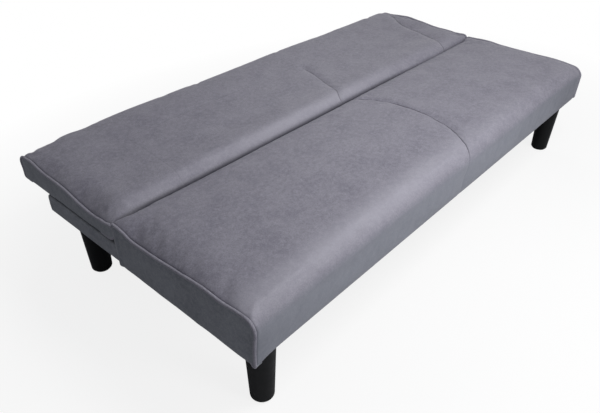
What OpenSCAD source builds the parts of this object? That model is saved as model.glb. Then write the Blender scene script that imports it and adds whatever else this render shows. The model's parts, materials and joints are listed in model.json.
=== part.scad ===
// Click clack sofa bed, shown folded flat as a bed.
// +X runs along the sofa, the front faces -Y, +Z is up. The origin is on the floor, under the middle.
// Left and right are as seen from the front: left is -X.

/* [Overall] */
// Length of the sofa bed from end to end
sofa_length = 1800; // [1500:10:2100]
// Depth of the seat, from its front face to the crevice
seat_depth = 490; // [440:5:580]
// Depth of the back, from the crevice to its outer edge
back_depth = 465; // [420:5:540]
// Height of the seat box's lower edge above the floor
leg_height = 219; // [120:1:260]
// Height of the seat box, lower edge to the cushion's top edge
seat_box_h = 131; // [126:1:170]
// How much lower the back's nose is than the seat's top edge
nose_drop = 3; // [0:0.5:6]

/* [Upholstery] */
// Rise of the seat's top between its edges
seat_crown = 8; // [0:1:14]
// Rounding of the seat's front top edge
seat_front_r = 38; // [20:1:50]
// Rounding of the seat's rear top edge, at the crevice
seat_rear_r = 24; // [8:1:36]
// Radius of the back's round nose, which turns in the crevice
nose_r = 33; // [32:0.5:36]
// Rise of the back's top from the nose to the outer edge
back_rise = 12; // [0:1:20]
// Rise of the back's top between its edges
back_crown = 8; // [0:1:14]
// Rounding of the back's outer top edge
back_outer_r = 34; // [16:1:40]
// Rounding of the back's outer lower edge
back_lower_r = 9; // [4:0.5:14]
// Thickness of the upholstery fabric
cover_t = 1.5; // [1:0.1:2.5]
// Free gap between seat and back in the crevice
crevice_gap = 3; // [1.5:0.5:6]
// Width of the piping's band, measured on the end panel
piping_w = 7; // [5:0.5:10]
// How far the piping stands out from the end panel
piping_proud = 2.5; // [1:0.5:4]
// Thickness of the wadding on the seat box's front and ends
wadding_t = 6; // [4:0.5:9]
// Thickness of the seat foam at the cushion's edge
seat_foam_t = 55; // [45:1:60]
// Thickness of the felt between springs and foam
felt_t = 2; // [1:0.5:3]
// Thickness of the dust cover and of the back's lining
lining_t = 1.2; // [0.8:0.1:2]

/* [Timber frame] */
// Thickness of the rails and boards
board_t = 18; // [15:0.5:22]
// Height of the base's low rails, which run back under the back
low_rail_h = 48; // [44:0.5:50]
// How far the base stops short of the back's outer edge
base_setback = 114; // [80:1:160]
// Height of the base's stretchers
stretcher_h = 40; // [30:1:42]
// Number of stretchers in the base
stretcher_count = 3; // [2:1:5]
// Height of the corner blocks that take the legs
block_h = 40; // [30:1:46]
// Length and width of a corner block
block_size = 96; // [90:1:110]
// Height of the back's front and rear rails
back_rail_h = 30; // [26:1:31]
// Height of the back's end rails
back_end_rail_h = 45; // [40:0.5:46]
// Number of stretchers in the back
back_stretcher_count = 2; // [1:1:4]
// Height of the back's stretchers
back_stretcher_h = 20; // [14:1:24]

/* [Springs] */
// Number of zigzag springs in the seat, and in the back
spring_count = 8; // [4:1:10]
// Thickness of the spring wire
spring_wire = 3.6; // [3:0.1:4]
// Number of cross runs in one zigzag spring
spring_runs = 15; // [9:2:19]
// Length of one straight cross run
spring_run_w = 24; // [20:1:34]

/* [Legs] */
// Diameter of a leg at the floor
leg_foot_d = 62; // [50:1:70]
// Diameter of a leg at the top
leg_top_d = 78; // [72:1:84]
// Distance of the legs' centres from the sofa's ends
leg_end_inset = 74; // [68:1:90]
// Distance of the front legs' centres from the front face
leg_front_inset = 62; // [58:1:80]
// Distance of the rear legs' centres from the base's rear face
leg_rear_inset = 80; // [60:1:90]
// Wall of a moulded leg
leg_wall = 4; // [3:0.5:6]
// Thickness of the glide under a leg
glide_t = 3; // [2:0.5:5]
// Thickness of the steel plate between a leg and its corner block
leg_plate_t = 2; // [1.5:0.5:4]
// Diameter of the leg studs' thread
stud_d = 8; // [6:1:10]

/* [Click clack hinge] */
// Thickness of the hinge's steel plates
plate_t = 3; // [2.5:0.5:4]
// Diameter of the pivot pin
pin_d = 10; // [8:0.5:12]
// Space between the two plates, where the ratchet and the pawl run
ratchet_space = 6; // [5:0.5:7]
// Radius of the ratchet over its lands
ratchet_r = 27; // [26:0.5:27.5]
// Depth of the ratchet's notches
notch_depth = 6; // [5:0.5:7]
// Angle at which the back locks upright
upright_angle = 75; // [70:1:78]
// Angle at which the back locks half raised
lounge_angle = 42; // [38:1:45]
// Lift beyond upright that trips the pawls
release_travel = 10; // [8:1:12]
// Angle through which a tripped pawl swings out of the ratchet
pawl_swing = 12; // [11.5:0.5:13]
// Length of the hinge arm behind the pivot
arm_length = 240; // [200:5:280]
// Height of the hinge arm
arm_h = 30; // [26:1:32]
// Running clearance of pins in their holes, on the radius
pin_clear = 0.05; // [0.02:0.01:0.08]

/* [Hidden] */
$fn = 64;

left = -1;
right = 1;
seam_gap = 0.3;                                     // air between soft pieces and what they cover
cut = 1;                                            // overshoot of a cut past the face it opens

// Places along Y
crevice_y = (seat_depth - back_depth) / 2;
front_y = crevice_y - seat_depth;
outer_y = crevice_y + back_depth;
seat_rear_y = crevice_y - crevice_gap / 2;
nose_y = crevice_y + crevice_gap / 2;
pivot_y = nose_y + nose_r;
base_rear_y = outer_y - base_setback;

// Heights
seat_edge_z = leg_height + seat_box_h;
board_z = leg_height + leg_plate_t;                 // underside of the timber base
back_top_z = seat_edge_z - nose_drop;               // top of the back at its nose
back_z = back_top_z - 2 * nose_r;                   // underside of the back
pivot_z = back_z + nose_r;
seat_foam_z = seat_edge_z - cover_t - seat_foam_t;
seat_rail_top_z = seat_foam_z - felt_t - spring_wire;
low_top_z = board_z + low_rail_h;
back_rail_z = back_z + cover_t + seam_gap + lining_t;
back_rail_top_z = back_rail_z + back_rail_h;
end_rail_top_z = back_rail_z + back_end_rail_h;
back_foam_z = back_rail_top_z + spring_wire + felt_t;

// Places along X
half = sofa_length / 2;
panel_x = half - piping_proud;                      // outer face of the end panels
panel_in_x = panel_x - cover_t;
cover_x = half - piping_w;                          // where the top cover meets the piping
side_out_x = panel_in_x - seam_gap - wadding_t;     // outer face of the side boards
side_in_x = side_out_x - board_t;
plate_x = side_in_x - plate_t;                      // inner face of the fixed hinge plate
arm_out_x = plate_x - ratchet_space;                // outer face of the hinge arm
end_rail_x = arm_out_x - plate_t;                   // outer face of the back's end rails
end_rail_in_x = end_rail_x - board_t;

// Timber faces along Y
front_rail_y = front_y + cover_t + seam_gap + wadding_t;
front_rail_in_y = front_rail_y + board_t;
seat_rear_rail_y = seat_rear_y - cover_t - seam_gap - board_t;
rear_rail_out_y = base_rear_y - (panel_x - side_out_x);
rear_rail_y = rear_rail_out_y - board_t;
rail_ahead = 5;                                     // the back's front rail, ahead of the pivot
back_front_rail_y = pivot_y - rail_ahead;
cover_corner_r = inset_r(back_lower_r, cover_t);      // inside of the cover's lower corner
corner_room = cover_corner_r - sqrt(pow(cover_corner_r - seam_gap, 2)
                                    - pow(max(cover_corner_r - lining_t - seam_gap, 0), 2));
back_rear_rail_out_y = outer_y - cover_t - seam_gap - max(wadding_t, corner_room);
lining_end_y = min(back_rear_rail_out_y, outer_y - back_lower_r - seam_gap);
back_rear_rail_y = back_rear_rail_out_y - board_t;

// Hinge
stop_gap = 0.2;                                     // air under the arm where it rests on its stop
stop_y = 60;                                        // the stop's start and end, behind the pivot
stop_end_y = 84;
tooth_step = 3;                                     // the ratchet's rim past the plate's round head
disc_r = ratchet_r - tooth_step;                    // fixed plate around the pivot
neck_front = 4;                                     // front edge of the plate's neck, ahead of the pivot
neck_rise = 9;                                      // height of the neck's front edge over the plate's leg
neck_angle = 40;                                    // where the neck's rear edge meets the round head
pocket_gap = 1.5;                                   // air around the hinge in its pocket in the nose
slot_r = ratchet_r + pocket_gap;
slot_clear = 0.6;                                   // air beside the hinge in its pocket
max_angle = upright_angle + release_travel;
contact_angle = -50;                                // where the pawl meets the ratchet, on the arm
tip_gap = 1;                                        // tip of an engaged pawl to the notch's floor
contact_r = ratchet_r - notch_depth + tip_gap;
pawl_reach = 32;                                    // pawl pivot to pawl tip
pawl_pin_d = 6;
pawl_side_gap = 0.5;                                // air between the arm and the pawl
ratchet_side_gap = 1;                               // air between the arm and the ratchet
rivet_head_t = 1;                                   // the pawl's rivet head
rivet_head_rim = 2;                                 // how far it stands out round the rivet
pawl_t = ratchet_space - 2 * pawl_side_gap - rivet_head_t;
notch_half = 9.5;                                   // half a notch's width, in degrees
contact_y = contact_r * cos(contact_angle);
contact_z = contact_r * sin(contact_angle);
pawl_y = contact_y + pawl_reach * cos(contact_angle + 90);
pawl_z = contact_z + pawl_reach * sin(contact_angle + 90);
pawl_tail_r = 16;                                   // round end of the pawl's tail, about its rivet
spring_post_y = 86;                                 // the pawl spring's post on the arm
spring_post_z = 2;
spring_post_r = 2;
leaf_t = 0.8;                                       // thickness of the pawl spring's strip
pocket_y = spring_post_y + spring_post_r + pin_clear + leaf_t + pocket_gap;
plate_to_block = 20;                                // fixed plate's leg to the rear corner block
plate_leg_end_y = rear_rail_y - block_size - plate_to_block - pivot_y;
plate_leg_under = 4;                                // side board's lower edge to the plate's leg
plate_leg_over = 2;                                 // plate's leg to the side board's upper edge
screw_d = 6;
screw_head_d = 13;
screw_head_t = 2.6;
screw_in_wood = 14;
plate_screw_ys = row_of_three(20, plate_leg_end_y - 30);
plate_screw_z = (board_z + low_top_z) / 2 - pivot_z;
arm_screw_ys = row_of_three(arm_length / 2, arm_length - 20);
pin_head_d = 18;
pin_head_t = 3;
arm_eye_step = 3;                                   // how far the arm's round eye is wider than the arm
head_clear = 1;                                     // air around and behind a pin's head in its recess

// Places of three screws in a row, behind the pivot, from the first to the last
function row_of_three(first, last) = [first, (first + last) / 2, last];

// Radius of a rounded corner once its outline is set in by t
function inset_r(r, t) = max(r - t, 0.5);

// Points along a circular arc from angle a0 to a1
function arc(cy, cz, r, a0, a1, steps = 10) =
    [for (i = [0 : steps]) let (a = a0 + (a1 - a0) * i / steps) [cy + r * cos(a), cz + r * sin(a)]];

// Points of a crowned edge between two heights, its ends left to the arcs beside it
function crown_line(y0, z0, y1, z1, rise, steps = 14) =
    [for (i = [1 : steps - 1]) let (u = i / steps)
        [y0 + (y1 - y0) * u, z0 + (z1 - z0) * u + rise * sin(180 * u)]];

// The seat's outline in Y and Z, set in by t; it runs down to z_low
function seat_outline(t, z_low) = let (
    front_r = inset_r(seat_front_r, t),
    rear_r = inset_r(seat_rear_r, t),
    front_c = front_y + t + front_r,
    rear_c = seat_rear_y - t - rear_r,
    top_z = seat_edge_z - t
) concat(
    [[front_y + t, z_low]],
    arc(front_c, top_z - front_r, front_r, 180, 90),
    crown_line(front_c, top_z, rear_c, top_z, seat_crown),
    arc(rear_c, top_z - rear_r, rear_r, 90, 0, 8),
    [[seat_rear_y - t, z_low]]
);

// The back's closed outline in Y and Z, set in by t: nose, crowned top, outer edge, underside
function back_outline(t) = let (
    outer_r = inset_r(back_outer_r, t),
    lower_r = inset_r(back_lower_r, t),
    outer_c = outer_y - t - outer_r,
    top_z = back_top_z + back_rise - t
) concat(
    arc(pivot_y, pivot_z, nose_r - t, 270, 90, 20),
    crown_line(pivot_y, back_top_z - t, outer_c, top_z, back_crown),
    arc(outer_c, top_z - outer_r, outer_r, 90, 0),
    arc(outer_y - t - lower_r, back_z + t + lower_r, lower_r, 0, -90, 4)
);

// Extrudes an outline drawn in Y and Z along X, from x0 to x1
module along_x(x0, x1) {
    translate([x0, 0, 0]) rotate([90, 0, 90]) linear_extrude(x1 - x0) children();
}

// A cylinder along X about the pivot, at y and z from it
module pivot_rod(y, z, r, x0, x1) {
    translate([x0, pivot_y + y, pivot_z + z]) rotate([0, 90, 0]) cylinder(h = x1 - x0, r = r);
}

// Pilot hole for a hinge screw, bored from the face at x towards +X (way 1) or -X (way -1)
module pilot_hole(y, z, x, way) {
    r = screw_d / 2 + pin_clear;
    pivot_rod(y, z, r, x - (way > 0 ? cut : screw_in_wood), x + (way > 0 ? screw_in_wood : cut));
}

// Places a piece drawn for the right end at the given end
module at_end(side) {
    mirror([side < 0 ? 1 : 0, 0, 0]) children();
}

// A box given by its lowest and highest corner
module block(low, high) {
    translate(low) cube(high - low);
}

// ---- Timber base ----

// Side board: full height under the seat, low under the back, with pilot holes for the hinge's screws
module side_board(side) {
    seat_end_y = seat_rear_y - cover_t - seam_gap;
    color("burlywood") at_end(side) difference() {
        along_x(side_in_x, side_out_x) polygon([
            [front_rail_in_y, board_z],
            [rear_rail_out_y, board_z],
            [rear_rail_out_y, low_top_z],
            [seat_end_y, low_top_z],
            [seat_end_y, seat_rail_top_z],
            [front_rail_in_y, seat_rail_top_z]
        ]);
        for (y = plate_screw_ys) pilot_hole(y, plate_screw_z, side_in_x, 1);
    }
}

module side_board_left() {
    side_board(left);
}

module side_board_right() {
    side_board(right);
}

module front_rail() {
    color("burlywood")
        block([-side_out_x, front_rail_y, board_z], [side_out_x, front_rail_in_y, seat_rail_top_z]);
}

module seat_rear_rail() {
    color("burlywood") block([-side_in_x, seat_rear_rail_y, board_z + stretcher_h],
                             [side_in_x, seat_rear_rail_y + board_t, seat_rail_top_z]);
}

module base_rear_rail() {
    color("burlywood")
        block([-side_in_x, rear_rail_y, board_z], [side_in_x, rear_rail_out_y, low_top_z]);
}

module base_stretchers() {
    pitch = 2 * side_in_x / (stretcher_count + 1);
    color("burlywood") for (i = [1 : stretcher_count]) {
        x = -side_in_x + i * pitch;
        block([x - board_t / 2, front_rail_in_y, board_z],
              [x + board_t / 2, rear_rail_y, board_z + stretcher_h]);
    }
}

front_leg_y = front_y + leg_front_inset;
rear_leg_y = base_rear_y - leg_rear_inset;
leg_x = half - leg_end_inset;
stud_clear = 0.4;                                   // air around a stud in its block and plate
stud_hole_r = stud_d / 2 + stud_clear;

// Repeats a piece drawn on the Z axis at each of the four legs
module at_legs() {
    for (x = [-leg_x, leg_x], y = [front_leg_y, rear_leg_y]) translate([x, y, 0]) children();
}

module corner_blocks() {
    color("burlywood") difference() {
        for (side = [left, right]) at_end(side) {
            block([side_in_x - block_size, front_rail_in_y, board_z],
                  [side_in_x, front_rail_in_y + block_size, board_z + block_h]);
            block([side_in_x - block_size, rear_rail_y - block_size, board_z],
                  [side_in_x, rear_rail_y, board_z + block_h]);
        }
        at_legs() translate([0, 0, board_z - cut]) cylinder(h = block_h + 2 * cut, r = stud_hole_r);
    }
}

// ---- Springs ----

// One zigzag spring that runs from y0 to y1 with its wire resting at z
module zigzag_spring(y0, y1, z) {
    pitch = (y1 - y0) / (spring_runs - 1);
    translate([0, y0, z]) linear_extrude(spring_wire) {
        for (i = [0 : spring_runs - 1]) {
            translate([0, i * pitch]) square([spring_run_w, spring_wire], center = true);
        }
        for (i = [0 : spring_runs - 2]) {
            turn = i % 2 == 0 ? 1 : -1;
            translate([turn * spring_run_w / 2, (i + 0.5) * pitch]) intersection() {
                difference() {
                    circle(r = (pitch + spring_wire) / 2, $fn = 32);
                    circle(r = (pitch - spring_wire) / 2, $fn = 32);
                }
                translate([turn > 0 ? 0 : -pitch, -pitch]) square([pitch, 2 * pitch]);
            }
        }
    }
}

// Repeats a piece drawn at x = 0 at each spring of a frame that is open over the given half width
module at_springs(half_open) {
    pitch = 2 * half_open / spring_count;
    for (i = [0 : spring_count - 1]) translate([-half_open + (i + 0.5) * pitch, 0, 0]) children();
}

clip_w = 14;
clip_depth = 15;
clip_t = 0.8;

// Folded clip that holds a spring's last run down on a rail's top
module spring_clip(y, z) {
    channel = spring_wire + seam_gap;
    along_x(-clip_w / 2, clip_w / 2) difference() {
        translate([y - clip_depth / 2, z]) square([clip_depth, spring_wire + clip_t]);
        translate([y - channel / 2, z - cut]) square([channel, channel + cut]);
    }
}

seat_spring_y0 = front_rail_y + board_t / 2;
seat_spring_y1 = seat_rear_rail_y + board_t / 2;
back_spring_y0 = back_front_rail_y + board_t / 2;
back_spring_y1 = back_rear_rail_y + board_t / 2;

module seat_springs() {
    color("silver") at_springs(side_in_x)
        zigzag_spring(seat_spring_y0, seat_spring_y1, seat_rail_top_z);
}

module seat_spring_clips() {
    color("gray") at_springs(side_in_x) {
        spring_clip(seat_spring_y0, seat_rail_top_z);
        spring_clip(seat_spring_y1, seat_rail_top_z);
    }
}

module back_springs() {
    color("silver") at_springs(end_rail_in_x)
        zigzag_spring(back_spring_y0, back_spring_y1, back_rail_top_z);
}

module back_spring_clips() {
    color("gray") at_springs(end_rail_in_x) {
        spring_clip(back_spring_y0, back_rail_top_z);
        spring_clip(back_spring_y1, back_rail_top_z);
    }
}

// ---- Seat upholstery ----

module seat_felt() {
    z = seat_rail_top_z + spring_wire;
    color("dimgray") block([-side_in_x, seat_spring_y0 + clip_depth / 2 + seam_gap, z],
                           [side_in_x, seat_spring_y1 - clip_depth / 2 - seam_gap, z + felt_t]);
}

module seat_foam() {
    color("khaki") {
        along_x(-(cover_x - seam_gap), cover_x - seam_gap)
            polygon(seat_outline(cover_t + seam_gap, seat_foam_z));
        along_x(-(panel_in_x - seam_gap), panel_in_x - seam_gap)
            polygon(seat_outline(piping_w + seam_gap, seat_foam_z));
    }
}

module seat_wadding() {
    color("whitesmoke") {
        block([-side_out_x, front_rail_y - wadding_t, board_z], [side_out_x, front_rail_y, seat_foam_z]);
        for (side = [left, right]) at_end(side) {
            block([side_out_x, front_rail_y + piping_w, board_z],
                  [side_out_x + wadding_t, seat_rear_y - piping_w - seam_gap, seat_foam_z]);
        }
    }
}

skirt_pad = 2;                                      // fabric and wadding over the low boards' tops
skirt_top_z = low_top_z + skirt_pad;

module seat_cover() {
    color("slategray") difference() {
        along_x(-cover_x, cover_x) difference() {
            polygon(seat_outline(0, leg_height));
            polygon(seat_outline(cover_t, leg_height - cut));
        }
        block([-half, seat_rear_y - cover_t - cut, leg_height - cut],
              [half, seat_rear_y + cut, skirt_top_z + seam_gap]);
    }
}

// The flat panel that closes the seat box's end, inside its piping
module seat_end_panel(side) {
    color("slategray") at_end(side)
        along_x(panel_in_x, panel_x) polygon(seat_outline(piping_w, leg_height));
}

module seat_end_panel_left() {
    seat_end_panel(left);
}

module seat_end_panel_right() {
    seat_end_panel(right);
}

module seat_piping(side) {
    color("lightslategray") at_end(side) along_x(cover_x, half) difference() {
        polygon(seat_outline(0, leg_height));
        polygon(seat_outline(piping_w, leg_height - cut));
    }
}

module seat_piping_left() {
    seat_piping(left);
}

module seat_piping_right() {
    seat_piping(right);
}

// ---- Skirts and dust cover ----

// Padded fabric over the low side board, behind the crevice
module side_skirt(side) {
    color("slategray") at_end(side) difference() {
        block([side_in_x, seat_rear_y + seam_gap, leg_height], [panel_x, rear_rail_out_y, skirt_top_z]);
        block([side_in_x - cut, seat_rear_y, leg_height - cut],
              [side_out_x, rear_rail_out_y + cut, low_top_z]);
    }
}

module side_skirt_left() {
    side_skirt(left);
}

module side_skirt_right() {
    side_skirt(right);
}

// Padded fabric over the base's rear rail
module rear_skirt() {
    color("slategray") difference() {
        block([-panel_x, rear_rail_out_y, leg_height], [panel_x, base_rear_y, skirt_top_z]);
        block([-half, rear_rail_out_y - cut, leg_height - cut],
              [half, rear_rail_out_y, skirt_top_z + cut]);
    }
    color("slategray") block([-side_in_x, rear_rail_y, low_top_z], [side_in_x, rear_rail_out_y, skirt_top_z]);
}

lining_to_leg = 2;                                  // the dust cover's holes around the legs

module dust_cover() {
    color("black") difference() {
        block([-side_out_x, front_rail_y, board_z - lining_t], [side_out_x, rear_rail_out_y, board_z]);
        at_legs() translate([0, 0, leg_height - cut])
            cylinder(h = leg_plate_t + 2 * cut, r = leg_top_d / 2 + lining_to_leg);
    }
}

// ---- Legs ----

stud_in_leg = 25;
stud_above = 12;
leg_plate_d = 64;
glide_plug_h = 8;
foot_round = 5;                                     // rounding of the leg's lower edge

// A tapered moulded leg, hollow from below, with a solid head that takes the stud
module leg(x, y) {
    foot_r = leg_foot_d / 2;
    top_r = leg_top_d / 2;
    cavity_top = leg_height - stud_in_leg - 2 * leg_wall;
    cavity_top_r = foot_r + (top_r - foot_r) * cavity_top / leg_height - leg_wall;
    color([0.09, 0.1, 0.1]) translate([x, y, 0]) difference() {
        rotate_extrude() polygon(concat(
            [[0, glide_t]],
            arc(foot_r - foot_round, glide_t + foot_round, foot_round, -90, 0, 5),
            [[top_r, leg_height], [0, leg_height]]
        ));
        translate([0, 0, glide_t - cut])
            cylinder(h = cavity_top - glide_t + cut, r1 = foot_r - leg_wall - foot_round, r2 = cavity_top_r);
        translate([0, 0, leg_height - stud_in_leg - cut])
            cylinder(h = stud_in_leg + 2 * cut, r = stud_d / 2 + pin_clear);
    }
}

module leg_front_left() {
    leg(-leg_x, front_leg_y);
}

module leg_front_right() {
    leg(leg_x, front_leg_y);
}

module leg_rear_left() {
    leg(-leg_x, rear_leg_y);
}

module leg_rear_right() {
    leg(leg_x, rear_leg_y);
}

module leg_glides() {
    color("dimgray") at_legs() {
        cylinder(h = glide_t, r = leg_foot_d / 2 - foot_round);
        cylinder(h = glide_t + glide_plug_h, r = leg_foot_d / 2 - leg_wall - foot_round - seam_gap);
    }
}

module leg_plates() {
    color("silver") at_legs() translate([0, 0, leg_height]) difference() {
        cylinder(h = leg_plate_t, d = leg_plate_d);
        translate([0, 0, -cut]) cylinder(h = leg_plate_t + 2 * cut, r = stud_hole_r);
    }
}

module leg_studs() {
    color("silver") at_legs() translate([0, 0, leg_height - stud_in_leg])
        cylinder(h = stud_in_leg + leg_plate_t + block_h + stud_above, d = stud_d);
}

// Hexagon nuts, with a nut's usual shares of its thread's diameter
module leg_nuts() {
    nut_t = stud_d * 0.8;
    nut_corners_d = stud_d * 1.9;
    color("gray") at_legs() translate([0, 0, board_z + block_h]) difference() {
        cylinder(h = nut_t, d = nut_corners_d, $fn = 6);
        translate([0, 0, -cut]) cylinder(h = nut_t + 2 * cut, r = stud_d / 2 + pin_clear);
    }
}

// ---- Click clack hinges ----

// Polygon of a notch in the ratchet that spans from angle a0 to a1 about the pivot
module notch(a0, a1) {
    inner = ratchet_r - notch_depth;
    outer = ratchet_r + cut;
    half_span = (a1 - a0) / 2;
    tangent_r = outer / cos(half_span);
    rotate((a0 + a1) / 2) polygon([
        [inner * cos(half_span), -inner * sin(half_span)],
        [outer * cos(half_span), -outer * sin(half_span)],
        [tangent_r, 0],
        [outer * cos(half_span), outer * sin(half_span)],
        [inner * cos(half_span), inner * sin(half_span)]
    ]);
}

// The fixed half: leg on the side board, neck, stop tab and toothed ratchet around the pivot
module hinge_plate(side) {
    leg_low = board_z + plate_leg_under - pivot_z;
    leg_high = low_top_z - plate_leg_over - pivot_z;
    stop_z = -arm_h / 2 - stop_gap;
    color("silver") at_end(side) difference() {
        union() {
            translate([0, pivot_y, pivot_z]) along_x(plate_x, side_in_x) {
                circle(r = disc_r);
                polygon([
                    [-disc_r, leg_low],
                    [plate_leg_end_y, leg_low],
                    [plate_leg_end_y, leg_high],
                    [stop_end_y, leg_high],
                    [stop_end_y, stop_z],
                    [disc_r * cos(neck_angle), -disc_r * sin(neck_angle)],
                    [-neck_front, -disc_r / 2],
                    [-neck_front, leg_high + neck_rise],
                    [-disc_r, leg_high]
                ]);
            }
            translate([0, pivot_y, pivot_z]) along_x(arm_out_x + ratchet_side_gap, plate_x) difference() {
                circle(r = ratchet_r);
                notch(contact_angle - notch_half, contact_angle + notch_half);
                notch(contact_angle + lounge_angle - notch_half, contact_angle + lounge_angle + notch_half);
                notch(contact_angle + upright_angle - notch_half, contact_angle + max_angle + notch_half);
            }
            block([end_rail_x + slot_clear, pivot_y + stop_y, pivot_z + stop_z - plate_t],
                  [plate_x, pivot_y + stop_end_y, pivot_z + stop_z]);
        }
        pivot_rod(0, 0, pin_d / 2 + pin_clear, arm_out_x, side_in_x + cut);
        for (y = plate_screw_ys) {
            pivot_rod(y, plate_screw_z, screw_d / 2 + seam_gap, plate_x - cut, side_in_x + cut);
        }
    }
}

module hinge_plate_left() {
    hinge_plate(left);
}

module hinge_plate_right() {
    hinge_plate(right);
}

module pivot_pins() {
    color("gray") for (side = [left, right]) at_end(side) {
        pivot_rod(0, 0, pin_d / 2, end_rail_x - seam_gap, side_in_x);
        pivot_rod(0, 0, pin_head_d / 2, end_rail_x - seam_gap - pin_head_t, end_rail_x - seam_gap);
        pivot_rod(0, 0, pin_head_d / 2, side_in_x, side_in_x + pin_head_t);
    }
}

module hinge_plate_screws() {
    color("gray") for (side = [left, right], y = plate_screw_ys) at_end(side) {
        pivot_rod(y, plate_screw_z, screw_head_d / 2, plate_x - screw_head_t, plate_x);
        pivot_rod(y, plate_screw_z, screw_d / 2, plate_x, side_in_x + screw_in_wood);
    }
}

// The moving half: a flat arm that is screwed to the back's end rail
module hinge_arm(side) {
    eye_r = arm_h / 2 + arm_eye_step;
    color("silver") at_end(side) difference() {
        union() {
            translate([0, pivot_y, pivot_z]) along_x(end_rail_x, arm_out_x) {
                circle(r = eye_r);
                translate([0, -arm_h / 2]) square([arm_length, arm_h]);
            }
            pivot_rod(spring_post_y, spring_post_z, spring_post_r, arm_out_x, plate_x - slot_clear);
        }
        pivot_rod(0, 0, pin_d / 2 + pin_clear, end_rail_x - cut, arm_out_x + cut);
        pivot_rod(pawl_y, pawl_z, pawl_pin_d / 2 + pin_clear, end_rail_x - cut, arm_out_x + cut);
        for (y = arm_screw_ys) pivot_rod(y, 0, screw_d / 2 + seam_gap, end_rail_x - cut, arm_out_x + cut);
    }
}

module hinge_arm_left() {
    hinge_arm(left);
}

module hinge_arm_right() {
    hinge_arm(right);
}

module hinge_arm_screws() {
    color("gray") for (side = [left, right], y = arm_screw_ys) at_end(side) {
        pivot_rod(y, 0, screw_head_d / 2, arm_out_x, arm_out_x + screw_head_t);
        pivot_rod(y, 0, screw_d / 2, end_rail_x - screw_in_wood, arm_out_x);
    }
}

module pawl_rivets() {
    color("gray") for (side = [left, right]) at_end(side) {
        rivet_end_x = plate_x - pawl_side_gap;
        pivot_rod(pawl_y, pawl_z, pawl_pin_d / 2, end_rail_x, rivet_end_x);
        pivot_rod(pawl_y, pawl_z, pawl_pin_d / 2 + rivet_head_rim,
                  rivet_end_x - rivet_head_t + seam_gap, rivet_end_x);
    }
}

// The pawl, drawn tripped: its engaged shape is swung out of the ratchet about its rivet.
// In its own frame the rivet is at 0, the tip points along +X and the ratchet's centre lies below the tip.
module pawl(side) {
    boss_r = 7;                                     // around the rivet
    tip_half = 2.2;                                 // half the tip's width at its end
    tail_half = 3.5;                                // half the tail's width
    head_x = pawl_reach + 4.5;                      // the head's far face
    head_root = notch_depth + 0.5;                  // where the tip grows out of the head
    throat_x = pawl_reach - 12;                     // the arm's underside, clear of the ratchet's rim
    pawl_x = arm_out_x + pawl_side_gap;
    color("dimgray") at_end(side) translate([0, pivot_y + pawl_y, pivot_z + pawl_z])
        along_x(pawl_x, pawl_x + pawl_t) rotate(pawl_swing) difference() {
            union() {
                circle(r = boss_r);
                rotate(contact_angle - 90) polygon([
                    [pawl_reach - tip_half, 0],
                    [pawl_reach + tip_half, 0],
                    [head_x, head_root],
                    [head_x, head_root + tail_half],
                    [pawl_reach - tip_half, head_root + 1.5 * tail_half],
                    [0, boss_r],
                    [0, -boss_r],
                    [boss_r + 1, -tail_half],
                    [throat_x, notch_depth - 0.5],
                    [pawl_reach - 2 * tip_half, notch_depth]
                ]);
                rotate(-pawl_swing / 2) intersection() {
                    circle(r = pawl_tail_r);
                    translate([0, -tail_half]) square([pawl_tail_r, 2 * tail_half]);
                }
            }
            circle(r = pawl_pin_d / 2 + pin_clear);
        }
}

module pawl_left() {
    pawl(left);
}

module pawl_right() {
    pawl(right);
}

// A straight piece of the spring's strip, from point p to point q
module strip(p, q, t) {
    translate(p) rotate(atan2(q[1] - p[1], q[0] - p[0])) translate([0, -t / 2]) square([norm(q - p), t]);
    translate(q) circle(d = t, $fn = 24);
}

// Bent leaf spring on the arm's post; its round nose bears on the pawl's tail and holds it in or out
module pawl_spring(side) {
    leaf_w = 3;
    nose_ball_r = 1.4;
    bend_back = 6;                                  // the bend's place behind and above the nose
    bend_up = 9;
    post = [spring_post_y, spring_post_z];
    nose = [pawl_y + pawl_tail_r + seam_gap + nose_ball_r, pawl_z];
    bend = nose + [bend_back, bend_up];
    color("silver") at_end(side) translate([0, pivot_y, pivot_z])
        along_x(arm_out_x + pawl_side_gap, arm_out_x + pawl_side_gap + leaf_w) difference() {
            union() {
                translate(post) circle(r = spring_post_r + pin_clear + leaf_t);
                strip(post, bend, leaf_t);
                strip(bend, nose, leaf_t);
                translate(nose) circle(r = nose_ball_r);
            }
            translate(post) circle(r = spring_post_r + pin_clear);
        }
}

module pawl_spring_left() {
    pawl_spring(left);
}

module pawl_spring_right() {
    pawl_spring(right);
}

// ---- Back frame ----

module back_front_rail() {
    color("burlywood") block([-end_rail_in_x, back_front_rail_y, back_rail_z],
                             [end_rail_in_x, back_front_rail_y + board_t, back_rail_top_z]);
}

module back_rear_rail() {
    color("burlywood") block([-end_rail_x, back_rear_rail_y, back_rail_z],
                             [end_rail_x, back_rear_rail_out_y, back_rail_top_z]);
}

// End rail of the back, with a recess for the pivot pin's head
module back_end_rail(side) {
    recess_r = pin_head_d / 2 + head_clear;
    color("burlywood") at_end(side) difference() {
        block([end_rail_in_x, back_front_rail_y, back_rail_z],
              [end_rail_x, back_rear_rail_y, end_rail_top_z]);
        pivot_rod(0, 0, recess_r, end_rail_x - seam_gap - pin_head_t - head_clear, end_rail_x + cut);
        for (y = arm_screw_ys) pilot_hole(y, 0, end_rail_x, -1);
    }
}

module back_end_rail_left() {
    back_end_rail(left);
}

module back_end_rail_right() {
    back_end_rail(right);
}

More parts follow.
